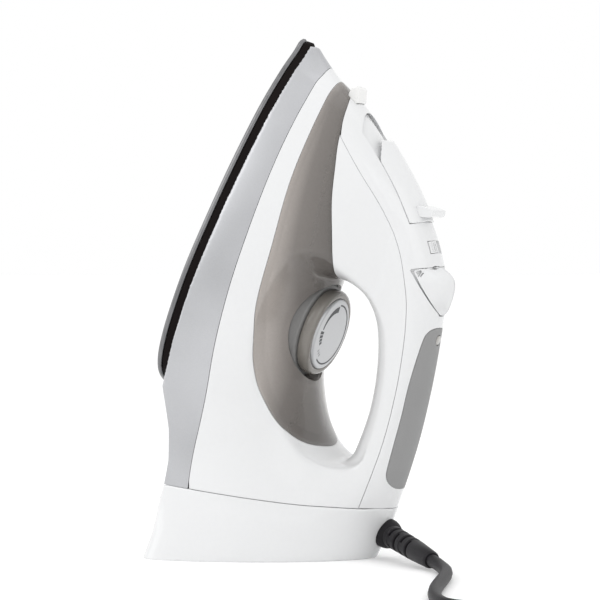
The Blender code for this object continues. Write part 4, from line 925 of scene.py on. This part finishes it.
def surface(s, y):
    """Height of the body's crown at one place."""
    half = crown_section(s)
    y = abs(y)
    for (y0, h0), (y1, h1) in zip(half[1:], half[2:]):
        if y1 <= y <= y0:
            return h1 + (h0 - h1) * (y - y1) / max(y0 - y1, 1e-9)
    return half[-1][1]


def loft(places, half_width, top, bottom, steps=16):
    """Solid over the crown: at each s, a strip of the given half width from bottom to top."""
    rings = []
    for s in places:
        half = half_width(s)
        ys = [half * (i - steps) / steps for i in range(2 * steps + 1)]
        upper = [at(s, y, top(s, y)) for y in ys]
        lower = [at(s, y, bottom(s, y)) for y in reversed(ys)]
        rings.append(upper + lower)
    return rings_solid(rings)


def button_height(s, y):
    """Outer face of the buttons: a low roof, falling away steeply below its shoulders."""
    half = along(BUTTON_HALF, s)
    shoulder = 0.58 * half
    top = along(BUTTON_TOP, s)
    low = along(BUTTON_SHOULDER, s)
    if abs(y) < shoulder:
        return top + (low - top) * (abs(y) / shoulder) ** 1.4
    part = (abs(y) - shoulder) / (half - shoulder)
    return low + (surface(s, half) + 0.3 - low) * part


def make_buttons(paints, cover):
    """Two caps in one pocket of the crown, side by side, with room under them for their travel."""
    places = [95.0 + 0.7 * i for i in range(37)]
    caps = add("caps", loft(places, lambda s: along(BUTTON_HALF, s), button_height,
                            lambda s, y: surface(s, y) - 0.3))
    room = [94.5] + places[1:-1] + [120.7]
    cut(cover, add("pocket", loft(room, lambda s: along(BUTTON_HALF, s) + 0.7, lambda s, y: 150.0,
                                  lambda s, y: surface(s, y) - PRESS - 1.3)))
    for name, body, side in (("spray", "spray_press", 1), ("burst", "burst_press", -1)):
        near = 0.35 * side
        half = add("half", slab([(80.0, near), (130.0, near), (130.0, 40.0 * side), (80.0, 40.0 * side)],
                                90.0, 160.0))
        button = common(copy_of(caps, name + "_cap"), half)
        soften(button, 0.28, 5)
        dress(button, paints["white"], body, [name + "_button"], 50.0)
        cut(cover, add("bore", lathe([(2.9, 90.0), (2.9, 150.0)], 24, upright(PUMP_S, PUMP_Y * side))))
    bpy.data.objects.remove(caps, do_unlink=True)


def make_nozzle(paints, cover, tank):
    nozzle = add("nozzle_block", prism(NOZZLE_OUTLINE, -5.5, 5.5))
    soften(nozzle, 0.2, 5)
    seat = add("nozzle_seat", prism(offset(NOZZLE_OUTLINE, GAP), -5.8, 5.8))
    cut(tank, seat, keep=True)
    cut(cover, seat)
    way = at(-3.2, 0, -1.7).normalized()
    mouth = at(16.1, 0, 42.8)
    bore = lathe([(1.9, -3.0), (1.9, 1.2), (2.4, 3.0), (2.4, 9.0)], 40, aimed(mouth, way))
    cut(nozzle, add("mouth", bore))
    dress(nozzle, paints["milk"], "housing", ["spray_nozzle"])


def door_height(s, y):
    """Outer face of the fill cover: level with the crown at its edges, raised in the middle."""
    return surface(s, y) + 0.2 + along(DOOR_BULGE, s) * (1 - (y / DOOR_HALF) ** 2)


def track_front(y):
    """Where the front edge of the fill cover's track lies, swept back towards its sides."""
    return 27.6 + 9.6 * (abs(y) / DOOR_HALF) ** 2


def make_fill_cover(paints, cover):
    """Cover of the water inlet, in a shallow track that runs on towards the nose."""
    places = [36.0 + 1.0 * i for i in range(44)]
    door = add("door", loft(places, lambda s: DOOR_HALF, door_height,
                            lambda s, y: surface(s, y) - DOOR_SINK))
    common(door, region([tuple(p) for p in rounded(DOOR_OUTLINE[:-1], 3)] + [DOOR_OUTLINE[-1]]))
    soften(door, 0.35, 4)
    lip = add("lip", prism([tuple(p) for p in rounded(LIP_OUTLINE, 3, closed=True)], -9.0, 9.0))
    soften(lip, 0.25, 6)
    join(door, lip)
    dress(door, paints["white"], "door", ["fill_cover"], 50.0)
    cut_track(cover)
    cut(cover, add("filler", lathe([(6.0, 60.0), (6.0, 110.0)], 40, upright(58.0, 0))))


def cut_track(cover):
    track = add("track", loft([26.0 + 1.3 * i for i in range(41)], lambda s: DOOR_HALF + 0.35,
                              lambda s, y: 150.0, lambda s, y: surface(s, y) - TRACK_DEPTH))
    front = [(track_front(y), y) for y in range(-16, 17, 2)]
    common(track, add("plan", slab(front + [(78.4, 16.0), (78.4, -16.0)], 30.0, 160.0)))
    rear = prism([(20.0, 20.0), (78.4, 92.0), (78.2, 99.0), (76.9, 102.6), (72.9, 109.2), (72.9, 160.0),
                  (20.0, 160.0)], -20.0, 20.0)
    common(track, add("rear", rear))
    cut(cover, track)


def make_grip(paints, whole, cover):
    outline = smooth_line(GRIP_OUTLINE)
    grip = common(copy_of(whole, "grip_inlay"), region(outline))
    cut(grip, form(GRIP_DEPTH, 0.0, 4.0, "grip_core"))
    bed = region(offset(outline, GAP))
    cut(bed, form(GRIP_DEPTH + GAP, 0.0, 4.0, "bed_core"))
    cut(cover, bed)
    for target in (grip, cover):
        cut(target, add("hole", lathe([(3.1, 122.0), (3.1, 150.0)], 48, upright(LENS_S, 0))))
    dress(grip, paints["grip"], "housing", ["grip_pad"])
    top = along(TOP, LENS_S)
    lens = [(2.7, top - 3.8), (2.7, top - 0.1), (2.3, top + 0.3), (1.6, top + 0.5), (0.8, top + 0.6)]
    dress(add("lamp_window", lathe(lens, 48, upright(LENS_S, 0))), paints["lens"], "housing",
          ["pilot_lens"])


# ---------------------------------------------------------------- swivel and strain relief

def make_swivel(paints):
    centre = STAND @ at(BUSH_S, 0, BUSH_H)
    placed = aimed(centre, GUARD_WAY)
    ball = [(4.6, -7.1), (5.8, -6.2), (6.9, -4.9), (7.7, -3.6), (8.2, -2.2), (BUSH_R, 0.0), (8.2, 2.2),
            (7.7, 3.6), (6.9, 4.9), (5.8, 6.2), (5.2, 6.8), (4.6, 7.1)]
    dress(add("swivel_ball", lathe(ball, 64, placed), True), paints["charcoal"], "swivel", ["cord_bush"])
    end = GUARD_START + GUARD_LENGTH
    sleeve = GUARD_START + 4 * RIB_PITCH + 0.8
    core = lathe([(3.9, GUARD_START), (3.9, sleeve - 0.2), (5.6, sleeve), (5.9, sleeve + 0.5),
                  (4.9, end - 2.0), (4.6, end - 0.8), (4.2, end)], 48, placed)
    guard = add("guard_shell", core, True)
    for i in range(4):
        low = GUARD_START + 0.8 + RIB_PITCH * i
        radius = 6.3 - 0.1 * i
        rib = [(radius - 0.6, low), (radius, low + 0.6), (radius, low + 5.2), (radius - 0.6, low + 5.8)]
        join(guard, add("rib", lathe(rib, 48, placed), True))
        for turn in (0.0, math.pi):
            bridge = sector(3.0, radius - 0.4, 24.0, low + 5.6, low + RIB_PITCH + 0.2, 12)
            facing = Matrix.Rotation(turn + (math.pi / 2) * (i % 2), 4, "Z")
            bridge.transform(placed @ facing @ Matrix.Rotation(-math.pi / 2, 4, "Y"))
            join(guard, add("bridge", bridge, True))
    dress(guard, paints["charcoal"], "swivel", ["cord_guard"])


# ---------------------------------------------------------------- carried-over nodes, stage and light

def paint_nodes(paints):
    """Materials of the CAD nodes that still show."""
    groups = {
        "steel": ["heating_element", "steam_chamber_cover", "thermostat_shaft", "valve_needle",
                  "spray_spring", "burst_spring", "clamp_screw_left", "clamp_screw_right", "sole_screw_left",
                  "sole_screw_right", "plug_blade_left", "plug_blade_right"],
        "inner": ["thermostat_base", "thermal_fuse", "terminal_block", "tank_inlet", "spray_cylinder",
                  "burst_cylinder", "spray_piston", "burst_piston", "cord_clamp"],
        "milk": ["nozzle_tip"],
        "brass": ["thermostat_blade"],
        "silicone": ["wire_live", "wire_neutral", "valve_seat", "spray_hose", "suction_tube", "coil_tie"],
        "lamp": ["pilot_lamp"],
        "charcoal": ["inner_cable", "plug_body"],
    }
    for key, names in groups.items():
        for name in names:
            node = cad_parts[name]
            node.data.materials.clear()
            node.data.materials.append(paints[key])


def area_light(name, location, target, size, power, colour=(1, 1, 1)):
    data = bpy.data.lights.new(name, "AREA")
    data.shape = "RECTANGLE"
    data.size = size[0]
    data.size_y = size[1]
    data.energy = power
    data.color = colour
    light = bpy.data.objects.new(name, data)
    light.location = location
    light.rotation_mode = "QUATERNION"
    light.rotation_quaternion = (Vector(target) - Vector(location)).to_track_quat("-Z", "Y")
    bpy.context.scene.collection.objects.link(light)


def make_stage():
    """Wide pale floor under an evenly white sky, with weak soft lights."""
    bm = bmesh.new()
    bmesh.ops.create_grid(bm, x_segments=8, y_segments=8, size=60.0)
    mesh = bpy.data.meshes.new("floor")
    bm.to_mesh(mesh)
    bm.free()
    floor = bpy.data.objects.new("floor", mesh)
    bpy.context.scene.collection.objects.link(floor)
    paper = Paint("paper", (0.86, 0.86, 0.86), 0.7, vary=0.005, relief=0, slow=3.0)
    paper.set("Emission Color", (1, 1, 1, 1))
    paper.set("Emission Strength", 0.17)
    mesh.materials.append(paper.mat)
    world = bpy.data.worlds.new("studio")
    world.use_nodes = True
    world.node_tree.nodes["Background"].inputs["Color"].default_value = (1, 1, 1, 1)
    world.node_tree.nodes["Background"].inputs["Strength"].default_value = 1.0
    bpy.context.scene.world = world
    area_light("key", (-0.9, -1.3, 1.5), (0, 0, 0.14), (1.2, 1.2), 7.0)
    area_light("fill", (1.6, -0.9, 0.9), (0, 0, 0.14), (1.4, 1.4), 4.0)
    area_light("side", (-1.4, -0.5, 0.6), (0, 0, 0.14), (1.0, 1.4), 3.0)
    area_light("top", (0.1, 0.2, 1.8), (0, 0, 0.1), (1.6, 1.6), 3.0)
    bpy.context.scene.view_settings.view_transform = "Standard"


# ---------------------------------------------------------------- build

make_camera()
PAINTS = make_paints()
make_lead(PAINTS)
body_form, cover_shell, tank_shell = make_shells(PAINTS)
make_heel(PAINTS)
make_soleplate(PAINTS)
make_shield(PAINTS)
make_dial(PAINTS)
make_slider(PAINTS, cover_shell)
make_buttons(PAINTS, cover_shell)
make_nozzle(PAINTS, cover_shell, tank_shell)
make_fill_cover(PAINTS, cover_shell)
make_grip(PAINTS, body_form, cover_shell)
dress(cover_shell, PAINTS["white"], "housing", ["handle_cover"])
bpy.data.objects.remove(body_form, do_unlink=True)
make_swivel(PAINTS)
paint_nodes(PAINTS)
make_stage()
